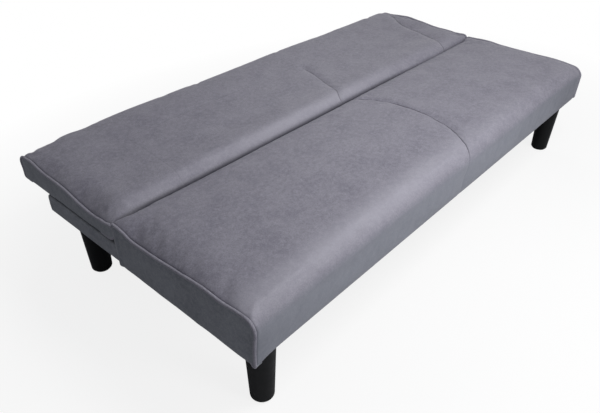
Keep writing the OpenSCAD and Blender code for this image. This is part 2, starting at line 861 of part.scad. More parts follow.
module back_stretchers() {
    pitch = 2 * end_rail_in_x / (back_stretcher_count + 1);
    color("burlywood") for (i = [1 : back_stretcher_count]) {
        x = -end_rail_in_x + i * pitch;
        block([x - board_t / 2, back_front_rail_y + board_t, back_rail_z],
              [x + board_t / 2, back_rear_rail_y, back_rail_z + back_stretcher_h]);
    }
}

// ---- Back upholstery ----

// The room that the hinge and pawl need in the back's end, all round the ratchet and below it
module hinge_pocket() {
    x0 = end_rail_x;
    x1 = side_in_x + pin_head_t + slot_clear;
    arm_x1 = arm_out_x + screw_head_t + slot_clear;
    for (side = [left, right]) at_end(side) {
        pivot_rod(0, 0, slot_r, x0, x1);
        pivot_rod(0, 0, pin_head_d / 2 + head_clear, x0 - seam_gap - pin_head_t - head_clear, x0 + cut);
        block([x0, nose_y - cut, back_z - cut], [x1, pivot_y + pocket_y, pivot_z + neck_front]);
        block([x0, pivot_y, pivot_z - cut], [x1, pivot_y + pocket_y, pivot_z + arm_h / 2 + pocket_gap]);
        block([x0, pivot_y, pivot_z - arm_h / 2 - seam_gap],
              [arm_x1, pivot_y + arm_length + seam_gap, pivot_z + arm_h / 2 + seam_gap]);
    }
}

module back_felt() {
    z = back_rail_top_z + spring_wire;
    color("dimgray") block([-end_rail_in_x, back_spring_y0 + clip_depth / 2 + seam_gap, z],
                           [end_rail_in_x, back_spring_y1 - clip_depth / 2 - seam_gap, z + felt_t]);
}

// Everything of the back's padding, before it is split at the frame's top
module back_padding() {
    along_x(-(cover_x - seam_gap), cover_x - seam_gap) polygon(back_outline(cover_t + seam_gap));
    along_x(-(panel_in_x - seam_gap), panel_in_x - seam_gap) polygon(back_outline(piping_w + seam_gap));
}

module back_foam() {
    color("khaki") difference() {
        back_padding();
        block([-half, front_y, 0], [half, outer_y, back_foam_z]);
        for (side = [left, right]) at_end(side) {
            block([end_rail_in_x - seam_gap, back_front_rail_y - seam_gap, back_foam_z - cut],
                  [end_rail_x + seam_gap, back_rear_rail_y + seam_gap, end_rail_top_z + seam_gap]);
        }
        hinge_pocket();
    }
}

module back_edge_foam() {
    color("khaki") difference() {
        back_padding();
        block([-half, front_y, back_foam_z], [half, outer_y, back_top_z + back_rise + back_crown + cut]);
        block([-end_rail_x - seam_gap, back_front_rail_y - seam_gap, back_z - cut],
              [end_rail_x + seam_gap, back_rear_rail_out_y + seam_gap, back_foam_z + cut]);
        for (y = [back_front_rail_y - seam_gap, back_rear_rail_out_y + 2 * seam_gap])
            block([-half, y - seam_gap, back_z - cut], [half, y, back_foam_z + cut]);
        hinge_pocket();
    }
}

lining_hem = 36;                                    // how far the cover turns in under the back

module back_cover() {
    color("slategray") difference() {
        along_x(-cover_x, cover_x) difference() {
            polygon(back_outline(0));
            polygon(back_outline(cover_t));
        }
        block([-end_rail_in_x, pivot_y + lining_hem, back_z - cut],
              [end_rail_in_x, outer_y - back_lower_r - lining_hem, back_z + cover_t + cut]);
        hinge_pocket();
    }
}

module back_end_panel(side) {
    color("slategray") at_end(side) along_x(panel_in_x, panel_x) polygon(back_outline(piping_w));
}

module back_end_panel_left() {
    back_end_panel(left);
}

module back_end_panel_right() {
    back_end_panel(right);
}

module back_piping(side) {
    color("lightslategray") at_end(side) along_x(cover_x, half) difference() {
        polygon(back_outline(0));
        polygon(back_outline(piping_w));
    }
}

module back_piping_left() {
    back_piping(left);
}

module back_piping_right() {
    back_piping(right);
}

module back_lining() {
    color("black") block([-end_rail_x, pivot_y, back_rail_z - lining_t],
                         [end_rail_x, lining_end_y, back_rail_z]);
}

side_board_left();
side_board_right();
front_rail();
seat_rear_rail();
base_rear_rail();
base_stretchers();
corner_blocks();
seat_springs();
seat_spring_clips();
seat_felt();
seat_foam();
seat_wadding();
seat_cover();
seat_end_panel_left();
seat_end_panel_right();
seat_piping_left();
seat_piping_right();
rear_skirt();
side_skirt_left();
side_skirt_right();
dust_cover();
leg_front_left();
leg_front_right();
leg_rear_left();
leg_rear_right();
leg_glides();
leg_plates();
leg_studs();
leg_nuts();
hinge_plate_left();
hinge_plate_right();
pivot_pins();
hinge_plate_screws();
back_front_rail();
back_rear_rail();
back_end_rail_left();
back_end_rail_right();
back_stretchers();
back_springs();
back_spring_clips();
back_felt();
back_foam();
back_edge_foam();
back_cover();
back_end_panel_left();
back_end_panel_right();
back_piping_left();
back_piping_right();
back_lining();
hinge_arm_left();
hinge_arm_right();
hinge_arm_screws();
pawl_rivets();
pawl_left();
pawl_right();
pawl_spring_left();
pawl_spring_right();
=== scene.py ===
"""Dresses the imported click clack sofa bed: suede covers, piping, skirts, plastic legs, timber and steel.

All sizes are metres in the part's own frame: +X runs along the sofa bed, the front faces -Y, +Z is up.
Every cover is cloth that is laid over a line in the YZ plane, its profile. A place on the flat cloth is
(x, s), where s is measured along the profile, so seams, puckers and wrinkles are drawn on the flat cloth.
"""

import json
import logging
import math
from dataclasses import dataclass, field
from enum import Enum

import bpy
import numpy as np
from bpy.types import ID, Material, Node, NodeSocket, NodeTree, Object
from mathutils import Matrix, Vector


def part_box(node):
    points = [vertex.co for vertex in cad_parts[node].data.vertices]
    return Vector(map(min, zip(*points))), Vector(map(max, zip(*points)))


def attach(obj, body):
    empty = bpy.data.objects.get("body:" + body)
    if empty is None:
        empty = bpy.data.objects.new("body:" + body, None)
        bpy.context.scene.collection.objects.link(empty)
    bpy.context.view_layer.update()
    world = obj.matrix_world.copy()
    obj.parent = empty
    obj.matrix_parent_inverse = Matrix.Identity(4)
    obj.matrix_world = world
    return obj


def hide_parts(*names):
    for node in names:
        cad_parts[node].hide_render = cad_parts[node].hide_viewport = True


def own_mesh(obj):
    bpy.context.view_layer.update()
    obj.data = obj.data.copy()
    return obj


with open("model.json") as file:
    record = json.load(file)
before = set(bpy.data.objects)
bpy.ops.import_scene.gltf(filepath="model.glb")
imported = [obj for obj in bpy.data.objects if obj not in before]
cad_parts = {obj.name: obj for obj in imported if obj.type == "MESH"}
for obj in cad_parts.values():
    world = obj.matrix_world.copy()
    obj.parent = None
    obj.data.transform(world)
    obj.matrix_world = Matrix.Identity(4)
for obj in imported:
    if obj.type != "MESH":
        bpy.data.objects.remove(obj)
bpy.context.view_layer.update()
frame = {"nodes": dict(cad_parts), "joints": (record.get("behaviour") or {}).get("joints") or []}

LOG = logging.getLogger("sofa_bed")

Array = np.ndarray
# Pairs of place and value, in order of place
Knots = tuple[tuple[float, float], ...]
# Soft waves laid over each other, as the height, the size and the seed of each
Layers = tuple[tuple[float, float, int], ...]
# A curve that is nought everywhere
LEVEL: Knots = ((-1.0, 0.0), (1.0, 0.0))

LEFT = -1
RIGHT = 1
SIDES = ((LEFT, "left"), (RIGHT, "right"))

# Distances from a seam at which a cover has a line of points, so that the sewn groove is crisp
SEAM_STEPS = (0.0, 0.0011, 0.0024, 0.0042, 0.0070, 0.0115, 0.0185, 0.0280)
FABRIC_T = 0.0015
PANEL_T = 0.0012
# Points of a line that are closer together than this count as one
SAME_PLACE = 1e-7


# ---- Curves, fields and meshes ---------------------------------------------

def ease(t: Array) -> Array:
    """Smooth step from 0 at t = 0 to 1 at t = 1."""
    t = np.clip(t, 0.0, 1.0)
    return t * t * (3.0 - 2.0 * t)


def rise(t: Array, start: float, over: float) -> Array:
    """Smooth step from 0 at start to 1 at start + over."""
    return ease((t - start) / over)


def hump(t: Array, centre: float, width: float) -> Array:
    """Bell of height 1 around centre, down to about a third at a distance of width."""
    return np.exp(-(((t - centre) / width) ** 2))


def arc(cy: float, cz: float, r: float, start: float, end: float, steps: int = 24) -> Array:
    """Points of a circular arc in the YZ plane.

    Args:
        cy: the centre's Y.
        cz: the centre's Z.
        r: the radius.
        start: the angle in degrees at which it starts, from +Y towards +Z.
        end: the angle at which it ends.
        steps: the number of straight stretches.

    Returns:
        An array of (y, z).
    """
    a = np.radians(np.linspace(start, end, steps + 1))
    return np.stack([cy + r * np.cos(a), cz + r * np.sin(a)], axis=1)


def crowned(start: tuple[float, float], end: tuple[float, float], crown: float) -> Array:
    """The inner points of a line that bows up between its start and its end.

    Args:
        start: where it starts, as (y, z).
        end: where it ends.
        crown: how far its middle bows up.

    Returns:
        An array of (y, z).
    """
    u = np.linspace(0, 1, 41)[1:-1]
    y = start[0] + u * (end[0] - start[0])
    z = start[1] + u * (end[1] - start[1]) + crown * np.sin(math.pi * u)
    return np.stack([y, z], axis=1)


def gone_along(line: Array) -> Array:
    """How far along itself each point of a line lies."""
    return np.concatenate([[0.0], np.cumsum(np.linalg.norm(np.diff(line, axis=0), axis=1))])


def curve_through(knots: Knots, at: Array) -> Array:
    """Smooth curve through a few knots, level beyond the first and the last.

    Args:
        knots: pairs of place and value, in order of place.
        at: the places to work out.

    Returns:
        The value at each place.
    """
    x = np.array([k[0] for k in knots])
    v = np.array([k[1] for k in knots])
    slope = np.gradient(v, x)
    slope[[0, -1]] = 0.0
    at = np.clip(at, x[0], x[-1])
    i = np.clip(np.searchsorted(x, at, side="right") - 1, 0, len(x) - 2)
    span = x[i + 1] - x[i]
    t = (at - x[i]) / span
    return (
        v[i] * (1 + 2 * t) * (1 - t) ** 2
        + v[i + 1] * t * t * (3 - 2 * t)
        + span * slope[i] * t * (1 - t) ** 2
        - span * slope[i + 1] * t * t * (1 - t)
    )


def spline_weights(t: Array) -> list[Array]:
    """The weights of the four neighbours in a smooth interpolation.

    Args:
        t: how far each place lies between its two middle neighbours, from 0 to 1.

    Returns:
        The weight of each neighbour, in order.
    """
    return [
        -0.5 * t + t**2 - 0.5 * t**3,
        1 - 2.5 * t**2 + 1.5 * t**3,
        0.5 * t + 2 * t**2 - 1.5 * t**3,
        -0.5 * t**2 + 0.5 * t**3,
    ]


def sample(grid: Array, row: Array, col: Array) -> Array:
    """Reads a grid of values smoothly between its points.

    Args:
        grid: the values, by row and column.
        row: fractional row of each place.
        col: fractional column of each place.

    Returns:
        The value at each place.
    """
    rows, cols = grid.shape
    row = np.clip(row, 0, rows - 1.001)
    col = np.clip(col, 0, cols - 1.001)
    r0, c0 = np.floor(row).astype(int), np.floor(col).astype(int)
    row_weights, col_weights = spline_weights(row - r0), spline_weights(col - c0)
    total = np.zeros(row.shape)
    for i, wr in enumerate(row_weights):
        for j, wc in enumerate(col_weights):
            r = np.clip(r0 + i - 1, 0, rows - 1)
            c = np.clip(c0 + j - 1, 0, cols - 1)
            total += wr * wc * grid[r, c]
    return total


def waves(x: Array, s: Array, size: float, seed: int) -> Array:
    """Soft random rise and fall on the flat cloth.

    Args:
        x: the places along X.
        s: the places along the profile.
        size: how wide its humps are.
        seed: the seed of its random values.

    Returns:
        A value for each place, from about -1 to 1.
    """
    # The flat cloth lies inside a square of random values, this wide, that starts this far before s = 0
    reach = 2.6
    lead = 0.3
    count = int(reach / size) + 4
    lattice = np.random.default_rng(seed).uniform(-1, 1, (count, count))
    return sample(lattice, (s + lead) / size, (x + reach / 2) / size)


def layered(x: Array, s: Array, layers: Layers) -> Array:
    """The sum of soft waves of several sizes, as a height."""
    return sum(height * waves(x, s, size, seed) for height, size, seed in layers)


# Where along X the crevice begins to close up, over what length, and how much less painted shade it then gets
CLOSES_UP_FROM = 0.25
CLOSES_UP_OVER = 0.35
CLOSED_UP_SHADE = 0.35


def closing_up(x: Array) -> Array:
    """How far the crevice between the cushions closes up at x, from 0 in the middle to 1 at the right end."""
    return rise(x, CLOSES_UP_FROM, over=CLOSES_UP_OVER)


@dataclass
class Profile:
    """A line of points that cloth is laid over, measured along itself; outward is to its left."""

    points: Array
    places: Array = field(init=False)

    def __post_init__(self) -> None:
        """Measures the line."""
        gaps = np.linalg.norm(np.diff(self.points, axis=0), axis=1)
        apart = gaps > SAME_PLACE
        self.points = self.points[np.concatenate([[True], apart])]
        self.places = np.concatenate([[0.0], np.cumsum(gaps[apart])])

    @property
    def length(self) -> float:
        """The line's whole length."""
        return float(self.places[-1])

    def at(self, s: Array) -> Array:
        """The points at distances s along the line, with a last axis of 2."""
        return np.stack([np.interp(s, self.places, self.points[:, i]) for i in (0, 1)], axis=-1)

    def normals(self, s: Array) -> Array:
        """The line's outward directions, averaged over 2 mm.

        Args:
            s: the distances along the line.

        Returns:
            The directions, with a last axis of 2.
        """
        reach = 0.001
        t = self.at(np.clip(s + reach, 0, self.length)) - self.at(np.clip(s - reach, 0, self.length))
        t /= np.maximum(np.linalg.norm(t, axis=-1, keepdims=True), 1e-9)
        return np.stack([-t[..., 1], t[..., 0]], axis=-1)


@dataclass
class Seam:
    """A sewn line on the flat cloth. Its two sides are pulled down into a groove between them."""

    path: Array
    strength: float = 1.0
    # Between which places along the profile the seam grows from faint to its full strength
    fade: tuple[float, float] = (-2.0, -1.0)
    depth: float = 0.0018
    width: float = 0.0016
    valley: float = 0.0016
    valley_width: float = 0.014
    line_width: float = 0.0014
    pucker_width: float = 0.016
    puckers: Layers = ((0.0006, 0.015, 31),)
    # How much of a seam still shows on a stretch that is pulled flat
    faint: float = 0.25

    def distance(self, x: Array, s: Array) -> Array:
        """How far places on the flat cloth are from this seam.

        Args:
            x: the places along X.
            s: the places along the profile.

        Returns:
            The distance of each place.
        """
        nearest = np.full(x.shape, 1.0)
        for (ax, a_s), (bx, b_s) in zip(self.path[:-1], self.path[1:]):
            dx, ds = bx - ax, b_s - a_s
            t = np.clip(((x - ax) * dx + (s - a_s) * ds) / (dx * dx + ds * ds), 0, 1)
            nearest = np.minimum(nearest, np.hypot(x - ax - t * dx, s - a_s - t * ds))
        return nearest

    def groove(self, x: Array, s: Array) -> Array:
        """How far the seam pulls the cloth in, and how it puckers beside it.

        Args:
            x: the places along X.
            s: the places along the profile.

        Returns:
            A height for each place, negative in the groove.
        """
        d = self.distance(x, s)
        pulled_in = self.depth * hump(d, 0.0, self.width) + self.valley * hump(d, 0.0, self.valley_width)
        pucker = hump(d, 0.0, self.pucker_width) * layered(x, s, self.puckers)
        return self.strength * self.presence(s) * (pucker - pulled_in)

    def presence(self, s: Array) -> Array:
        """How much of the seam shows at s, as it eases off on a stretch that is pulled flat."""
        start, end = self.fade
        return self.faint + (1.0 - self.faint) * rise(s, start, over=end - start)

    def shade(self, x: Array, s: Array) -> Array:
        """How dark the sewn line looks at each place, from 0 to 1."""
        return self.strength * self.presence(s) ** 1.5 * hump(self.distance(x, s), 0.0, self.line_width)


def spread(width: float, spacing: float, fine_start: bool, fine_end: bool) -> list[float]:
    """Shares of a panel's width at which it has lines of points, from 0 up to but not including 1.

    Args:
        width: the panel's usual width.
        spacing: the distance between lines away from its seams.
        fine_start: whether the lines crowd towards its start.
        fine_end: whether they crowd towards its end.

    Returns:
        The shares in order.
    """
    crowded = width * 0.4
    start = [d for d in SEAM_STEPS if d < crowded] if fine_start else [0.0]
    end = [width - d for d in reversed(SEAM_STEPS) if d < crowded] if fine_end else [width]
    count = max(1, math.ceil((end[0] - start[-1]) / spacing))
    middle = np.linspace(start[-1], end[0], count + 1)[1:-1]
    places = [*start, *middle, *end]
    return [p / width for p in places[:-1]]


def add_object(name: str, data: ID) -> Object:
    """Puts a new object into the scene.

    Args:
        name: the object's name.
        data: its mesh, light or camera.

    Returns:
        The new object.
    """
    obj = bpy.data.objects.new(name, data)
    bpy.context.scene.collection.objects.link(obj)
    return obj


def grid_object(
    name: str,
    points: Array,
    kept: Array | None = None,
    closed: bool = False,
    flip: bool = False,
    marks: dict[str, Array] | None = None,
) -> Object:
    """Makes a smooth mesh from a grid of points.

    Args:
        name: the object's name.
        points: rows by columns by 3.
        kept: which cells between the points are made, or None for all of them.
        closed: whether the last row joins the first.
        flip: whether the faces are turned over.
        marks: values for each point, which materials read by name.

    Returns:
        The new object, linked to the scene.
    """
    rows, cols, _ = points.shape
    index = np.arange(rows * cols).reshape(rows, cols)
    below = index if closed else index[:-1]
    above = np.roll(index, -1, axis=0) if closed else index[1:]
    cells = np.stack([below[:, :-1], below[:, 1:], above[:, 1:], above[:, :-1]], axis=-1)
    faces = cells[kept] if kept is not None else cells.reshape(-1, 4)
    if flip:
        faces = faces[:, ::-1]
    used, compact = np.unique(faces, return_inverse=True)
    mesh = bpy.data.meshes.new(name)
    mesh.from_pydata(points.reshape(-1, 3)[used].tolist(), [], compact.reshape(-1, 4).tolist())
    mesh.polygons.foreach_set("use_smooth", [True] * len(mesh.polygons))
    for key, values in (marks or {}).items():
        layer = mesh.attributes.new(key, "FLOAT", "POINT")
        layer.data.foreach_set("value", np.ascontiguousarray(values.reshape(-1)[used], dtype=np.float32))
    mesh.update()
    return add_object(name, mesh)


def thicken(obj: Object, thickness: float) -> Object:
    """Gives a cover its cloth's thickness, inwards, with closed edges.

    Args:
        obj: the cover.
        thickness: how thick its cloth is.

    Returns:
        The same object.
    """
    solid = obj.modifiers.new("fabric_thickness", "SOLIDIFY")
    solid.thickness = thickness
    solid.offset = -1.0
    solid.use_rim = True
    return obj


def tube(name: str, line: Array, across: Array, radius: Array, sides: int, end_round: float) -> Object:
    """Makes a closed round cord along a line that lies in a plane.

    Args:
        name: the object's name.
        line: the centre line, n by 3.
        across: the direction square to that plane.
        radius: the radius at each point.
        sides: the number of faces around.
        end_round: over what length each end is rounded off.

    Returns:
        The new object.
    """
    tangent = np.gradient(line, axis=0)
    tangent /= np.linalg.norm(tangent, axis=1, keepdims=True)
    out = np.cross(tangent, across)
    gone = gone_along(line)
    from_end = np.clip(np.minimum(gone, gone[-1] - gone) / end_round, 0.0, 1.0)
    # The very end keeps a tenth of the radius
    r = radius * np.sqrt(np.maximum(1.0 - (1.0 - from_end) ** 2, 0.01))
    a = np.linspace(0, 2 * math.pi, sides + 1)
    ring = np.cos(a)[None, :, None] * across + np.sin(a)[None, :, None] * out[:, None, :]
    points = line[:, None, :] + ring * r[:, None, None]
    obj = grid_object(name, points)
    weld = obj.modifiers.new("close", "WELD")
    weld.merge_threshold = 0.00002
    return obj


# ---- Cloth simulation ------------------------------------------------------

@dataclass(frozen=True)
class Inflation:
    """How a sewn cover is blown up against its seams, as foam and wadding push it out."""

    spacing: float = 0.014
    frames: int = 20
    pressure: float = 4.0
    slack: float = -0.012
    tension: float = 18.0
    bending: float = 0.6
    # Seams stronger than this hold the points down that are within this share of the spacing
    holding_strength: float = 0.5
    seam_reach: float = 0.6

    def run(self, points: Array, sewn: Array) -> Array:
        """Simulates the cover and returns how far each point moved.

        Args:
            points: the cover at rest, rows by columns by 3.
            sewn: which points are held by a seam, a hem or a staple.

        Returns:
            The moves, rows by columns by 3.
        """
        scene = bpy.context.scene
        obj = grid_object("inflated", points)
        held = obj.vertex_groups.new(name="sewn")
        held.add(np.flatnonzero(sewn.reshape(-1)).tolist(), 1.0, "REPLACE")
        cloth = obj.modifiers.new("cloth", "CLOTH")
        settings = cloth.settings
        settings.vertex_group_mass = held.name
        settings.quality = 6
        settings.mass = 0.25
        settings.tension_stiffness = self.tension
        settings.compression_stiffness = self.tension
        settings.shear_stiffness = self.tension / 2
        settings.bending_stiffness = self.bending
        settings.shrink_min = self.slack
        settings.use_pressure = True
        settings.uniform_pressure_force = self.pressure
        settings.effector_weights.gravity = 0.0
        cloth.point_cache.frame_start = 1
        cloth.point_cache.frame_end = self.frames
        for step in range(1, self.frames + 1):
            scene.frame_set(step)
        baked = obj.evaluated_get(bpy.context.evaluated_depsgraph_get()).to_mesh()
        moved = np.empty(len(baked.vertices) * 3)
        baked.vertices.foreach_get("co", moved)
        scene.frame_set(1)
        bpy.data.objects.remove(obj)
        return moved.reshape(points.shape) - points


# ---- Finishes --------------------------------------------------------------

def srgb(colour: str) -> tuple[float, float, float, float]:
    """Turns a hex colour into Blender's linear colour.

    Args:
        colour: the sRGB colour, as #RRGGBB.

    Returns:
        Its red, green and blue, and 1 for opaque.
    """
    channels = [int(colour[i : i + 2], 16) / 255 for i in (1, 3, 5)]
    linear = [c / 12.92 if c <= 0.04045 else ((c + 0.055) / 1.055) ** 2.4 for c in channels]
    return (linear[0], linear[1], linear[2], 1.0)


def connect(node: Node, inputs: dict) -> None:
    """Sets a node's inputs to values, or links sockets to them.

    Args:
        node: the node.
        inputs: values or sockets, by the name or the number of the input.
    """
    for key, value in inputs.items():
        if isinstance(value, NodeSocket):
            node.id_data.links.new(value, node.inputs[key])
        else:
            node.inputs[key].default_value = value


def add_node(
    tree: NodeTree,
    kind: str,
    inputs: tuple | dict = (),
    out: int | str = 0,
    **settings: object,
) -> NodeSocket | None:
    """Adds a shader node with its settings, values and links.

    Args:
        tree: the material's or world's node tree.
        kind: the node's Blender type, without its "ShaderNode".
        inputs: values or sockets, in the order of the node's inputs, or by their name or number.
        out: the name or number of the output that is wanted.
        settings: the node's own properties.

    Returns:
        That output's socket, or None for a node without outputs.
    """
    node = tree.nodes.new("ShaderNode" + kind)
    for key, value in settings.items():
        setattr(node, key, value)
    connect(node, inputs if isinstance(inputs, dict) else dict(enumerate(inputs)))
    return node.outputs[out] if node.outputs else None


def patterned(place: NodeSocket, size_mm: float, **more: float) -> dict[str, object]:
    """The inputs of a texture node whose pattern repeats about every size_mm millimetres at real size."""
    return {"Vector": place, "Scale": 1000.0 / size_mm, **more}


class MixSocket(Enum):
    """The numbered sockets of a colour mix node."""

    SHARE = 0
    FIRST = 6
    SECOND = 7
    RESULT = 2


@dataclass(frozen=True)
class Tint:
    """A colour that comes in over another as a pattern's value goes from one level to another."""

    colour: str
    low: float
    high: float
    most: float = 1.0

    def over(self, tree: NodeTree, below: object, pattern: NodeSocket) -> NodeSocket:
        """Lays the tint over a colour.

        Args:
            tree: the material's node tree.
            below: the colour that it is laid over, or its socket.
            pattern: the socket of the pattern's value.

        Returns:
            The new colour's socket.
        """
        sockets = {
            MixSocket.SHARE.value: add_node(tree, "MapRange", (pattern, self.low, self.high, 0.0, self.most)),
            MixSocket.FIRST.value: below,
            MixSocket.SECOND.value: srgb(self.colour),
        }
        return add_node(tree, "Mix", sockets, MixSocket.RESULT.value, data_type="RGBA")


def new_material(name: str) -> tuple[Material, NodeTree, Node]:
    """Makes an empty material.

    Args:
        name: the material's name.

    Returns:
        The material, its node tree and its principled shader.
    """
    material = bpy.data.materials.new(name)
    material.use_nodes = True
    tree = material.node_tree
    return material, tree, tree.nodes["Principled BSDF"]


@dataclass(frozen=True)
class Finish:
    """A material that shader nodes draw; each of its kinds lays out its own nodes."""

    name: str

    def inputs(self, tree: NodeTree, place: NodeSocket) -> dict[str, object]:
        """Lays out the nodes and returns the principled shader's inputs, as values or sockets by name."""
        raise NotImplementedError

    def material(self) -> Material:
        """Builds the material.

        Returns:
            The new material.
        """
        made, tree, shader = new_material(self.name)
        connect(shader, self.inputs(tree, add_node(tree, "TexCoord", out="Object")))
        return made


@dataclass(frozen=True)
class FauxSuede(Finish):
    """Polyester faux suede, woven, then brushed to a short nap."""

    base: str = "#85838E"
    brushed_up: str = "#918F9A"
    brushed_down: str = "#777581"
    # Colour of the dark seam lines, and of the painted shade in the crevice, beside the piping and on a
    # hanging face
    seam_and_painted_shade: str = "#3F3E47"
    # The painted highlight's colour, laid on where the cloth is pulled over an edge
    pulled: str = "#AFADB8"
    # A cooler painted shade tone where the cloth hangs
    hanging_shade_tint: str = "#888D95"
    rim: str = "#E9E7F2"
    roughness: float = 0.52
    gloss: float = 0.24
    sheen: float = 0.14
    sheen_roughness: float = 0.45
    # The nap is a fifth of a millimetre in reality; it is drawn at 3.5 mm, as coarse as it needs to show
    nap_mm: float = 3.5
    brush_mark_mm: float = 13.0
    cloud_mm: float = 75.0
    nap_height: float = 0.00020
    mark_height: float = 0.0011

    def inputs(self, tree: NodeTree, place: NodeSocket) -> dict[str, object]:
        """Lays out the clouds, strokes and nap, and the marks of wear over them.

        Args:
            tree: the material's node tree.
            place: the socket of the place on the object.

        Returns:
            The principled shader's inputs, as values or sockets by name.
        """
        clouds, marks, nap = (
            add_node(tree, "TexNoise", patterned(place, size, Detail=fine, Roughness=rough))
            for size, fine, rough in (
                (self.cloud_mm, 3.0, 0.5),
                (self.brush_mark_mm, 4.0, 0.62),
                (self.nap_mm, 2.0, 0.7),
            )
        )
        # Broad clouds and short strokes, as hands leave on a brushed nap: they keep a large grey face alive
        colour = Tint(self.brushed_down, 0.68, 0.32).over(tree, srgb(self.base), clouds)
        colour = Tint(self.brushed_up, 0.42, 0.72, 0.7).over(tree, colour, marks)
        colour = Tint(self.brushed_down, 0.42, 0.26, 0.6).over(tree, colour, marks)
        # The nap's own grain, which says at once that this is cloth and not leather
        grain = add_node(tree, "MapRange", (nap, 0.28, 0.72, 0.80, 1.17))
        colour = add_node(tree, "VectorMath", (colour, grain), operation="MULTIPLY")
        # A painted highlight where the cloth is pulled over an edge, and a cooler painted shade tone where it
        # hangs.
        # Sewn lines are dark; painted shade darkens the crevice, the grooves beside the piping and a hanging
        # face
        for mark, tint in (
            ("stretched", Tint(self.pulled, 0.0, 1.0, 0.60)),
            ("hanging", Tint(self.hanging_shade_tint, 0.0, 1.0, 0.62)),
            ("seam", Tint(self.seam_and_painted_shade, 0.0, 1.0, 0.82)),
        ):
            level = add_node(tree, "Attribute", out="Fac", attribute_name=mark)
            colour = tint.over(tree, colour, level)
        bump = add_node(tree, "Bump", {"Height": nap, "Strength": 0.55, "Distance": self.nap_height})
        strokes = {"Height": marks, "Strength": 0.35, "Distance": self.mark_height, "Normal": bump}
        bump = add_node(tree, "Bump", strokes)
        # The sheen is a pale rim where the nap stands against the light
        return {
            "Base Color": colour,
            "Normal": bump,
            "Roughness": self.roughness,
            "Specular IOR Level": self.gloss,
            "Sheen Weight": self.sheen,
            "Sheen Roughness": self.sheen_roughness,
            "Sheen Tint": srgb(self.rim),
        }


@dataclass(frozen=True)
class MouldedPlastic(Finish):
    """Black polypropylene, injection moulded in a finely eroded tool."""

    base: str
    roughness: float
    scuff: str = "#1B1D1E"
    grain_mm: float = 0.9
    scuff_mm: float = 22.0
    gloss: float = 0.18

    def inputs(self, tree: NodeTree, place: NodeSocket) -> dict[str, object]:
        """Lays out the moulded grain and the scuffs.

        Args:
            tree: the material's node tree.
            place: the socket of the place on the object.

        Returns:
            The principled shader's inputs, as values or sockets by name.
        """
        grain = add_node(tree, "TexNoise", patterned(place, self.grain_mm))
        scuffs = add_node(tree, "TexNoise", patterned(place, self.scuff_mm, Detail=5.0, Roughness=0.65))
        # A broad dull highlight that breaks up a little, as on a leg that was handled
        rough = add_node(tree, "MapRange", (scuffs, 0.35, 0.70, self.roughness - 0.05, self.roughness + 0.12))
        colour = Tint(self.scuff, 0.55, 0.75, 0.35).over(tree, srgb(self.base), scuffs)
        bump = add_node(tree, "Bump", {"Height": grain, "Strength": 0.35, "Distance": 0.00008})
        return {"Base Color": colour, "Roughness": rough, "Normal": bump, "Specular IOR Level": self.gloss}


@dataclass(frozen=True)
class SawnTimber(Finish):
    """Planed pine boards."""

    along: tuple[float, float, float]
    early: str = "#D9B98A"
    late: str = "#A97B48"
    stain: str = "#C79F6B"
    ring_mm: float = 26.0
    stain_mm: float = 60.0
    fibre_mm: float = 2.2
    roughness: float = 0.62

    def inputs(self, tree: NodeTree, place: NodeSocket) -> dict[str, object]:
        """Lays out the growth rings, stains and fibres.

        Args:
            tree: the material's node tree.
            place: the socket of the place on the object.

        Returns:
            The principled shader's inputs, as values or sockets by name.
        """
        place = add_node(tree, "Mapping", {"Vector": place, "Scale": self.along})
        stains = add_node(tree, "TexNoise", patterned(place, self.stain_mm))
        wave = patterned(place, self.ring_mm, Distortion=5.0, Detail=3.0)
        rings = add_node(tree, "TexWave", {**wave, "Detail Scale": 1.4}, "Fac", wave_type="RINGS")
        fibre = add_node(tree, "TexNoise", patterned(place, self.fibre_mm, Detail=3.0))
        # Long darker growth rings along the board, and fibres that roughen its face
        colour = Tint(self.late, 0.25, 0.95).over(tree, srgb(self.early), rings)
        colour = Tint(self.stain, 0.35, 0.7, 0.3).over(tree, colour, stains)
        bump = add_node(tree, "Bump", {"Height": fibre, "Strength": 0.4, "Distance": 0.0003})
        return {"Base Color": colour, "Normal": bump, "Roughness": self.roughness}


@dataclass(frozen=True)
class PlatedSteel(Finish):
    """Steel sheet or wire, stamped or drawn and then plated."""

    base: str
    dull: str
    roughness: float
    spangle_mm: float = 5.0
    cloud_mm: float = 14.0

    def inputs(self, tree: NodeTree, place: NodeSocket) -> dict[str, object]:
        """Lays out the crystals of the plating and the clouds over them.

        Args:
            tree: the material's node tree.
            place: the socket of the place on the object.

        Returns:
            The principled shader's inputs, as values or sockets by name.
        """
        # Crystals that catch the light differently, and a faint cloud of handling over them
        spangle = add_node(tree, "TexVoronoi", patterned(place, self.spangle_mm), "Distance")
        cloud = add_node(tree, "TexNoise", patterned(place, self.cloud_mm, Detail=4.0))
        colour = Tint(self.dull, 0.35, 0.7).over(tree, srgb(self.base), cloud)
        rough = add_node(tree, "MapRange", (spangle, 0.0, 0.7, self.roughness - 0.06, self.roughness + 0.10))
        return {"Base Color": colour, "Roughness": rough, "Metallic": 1.0}


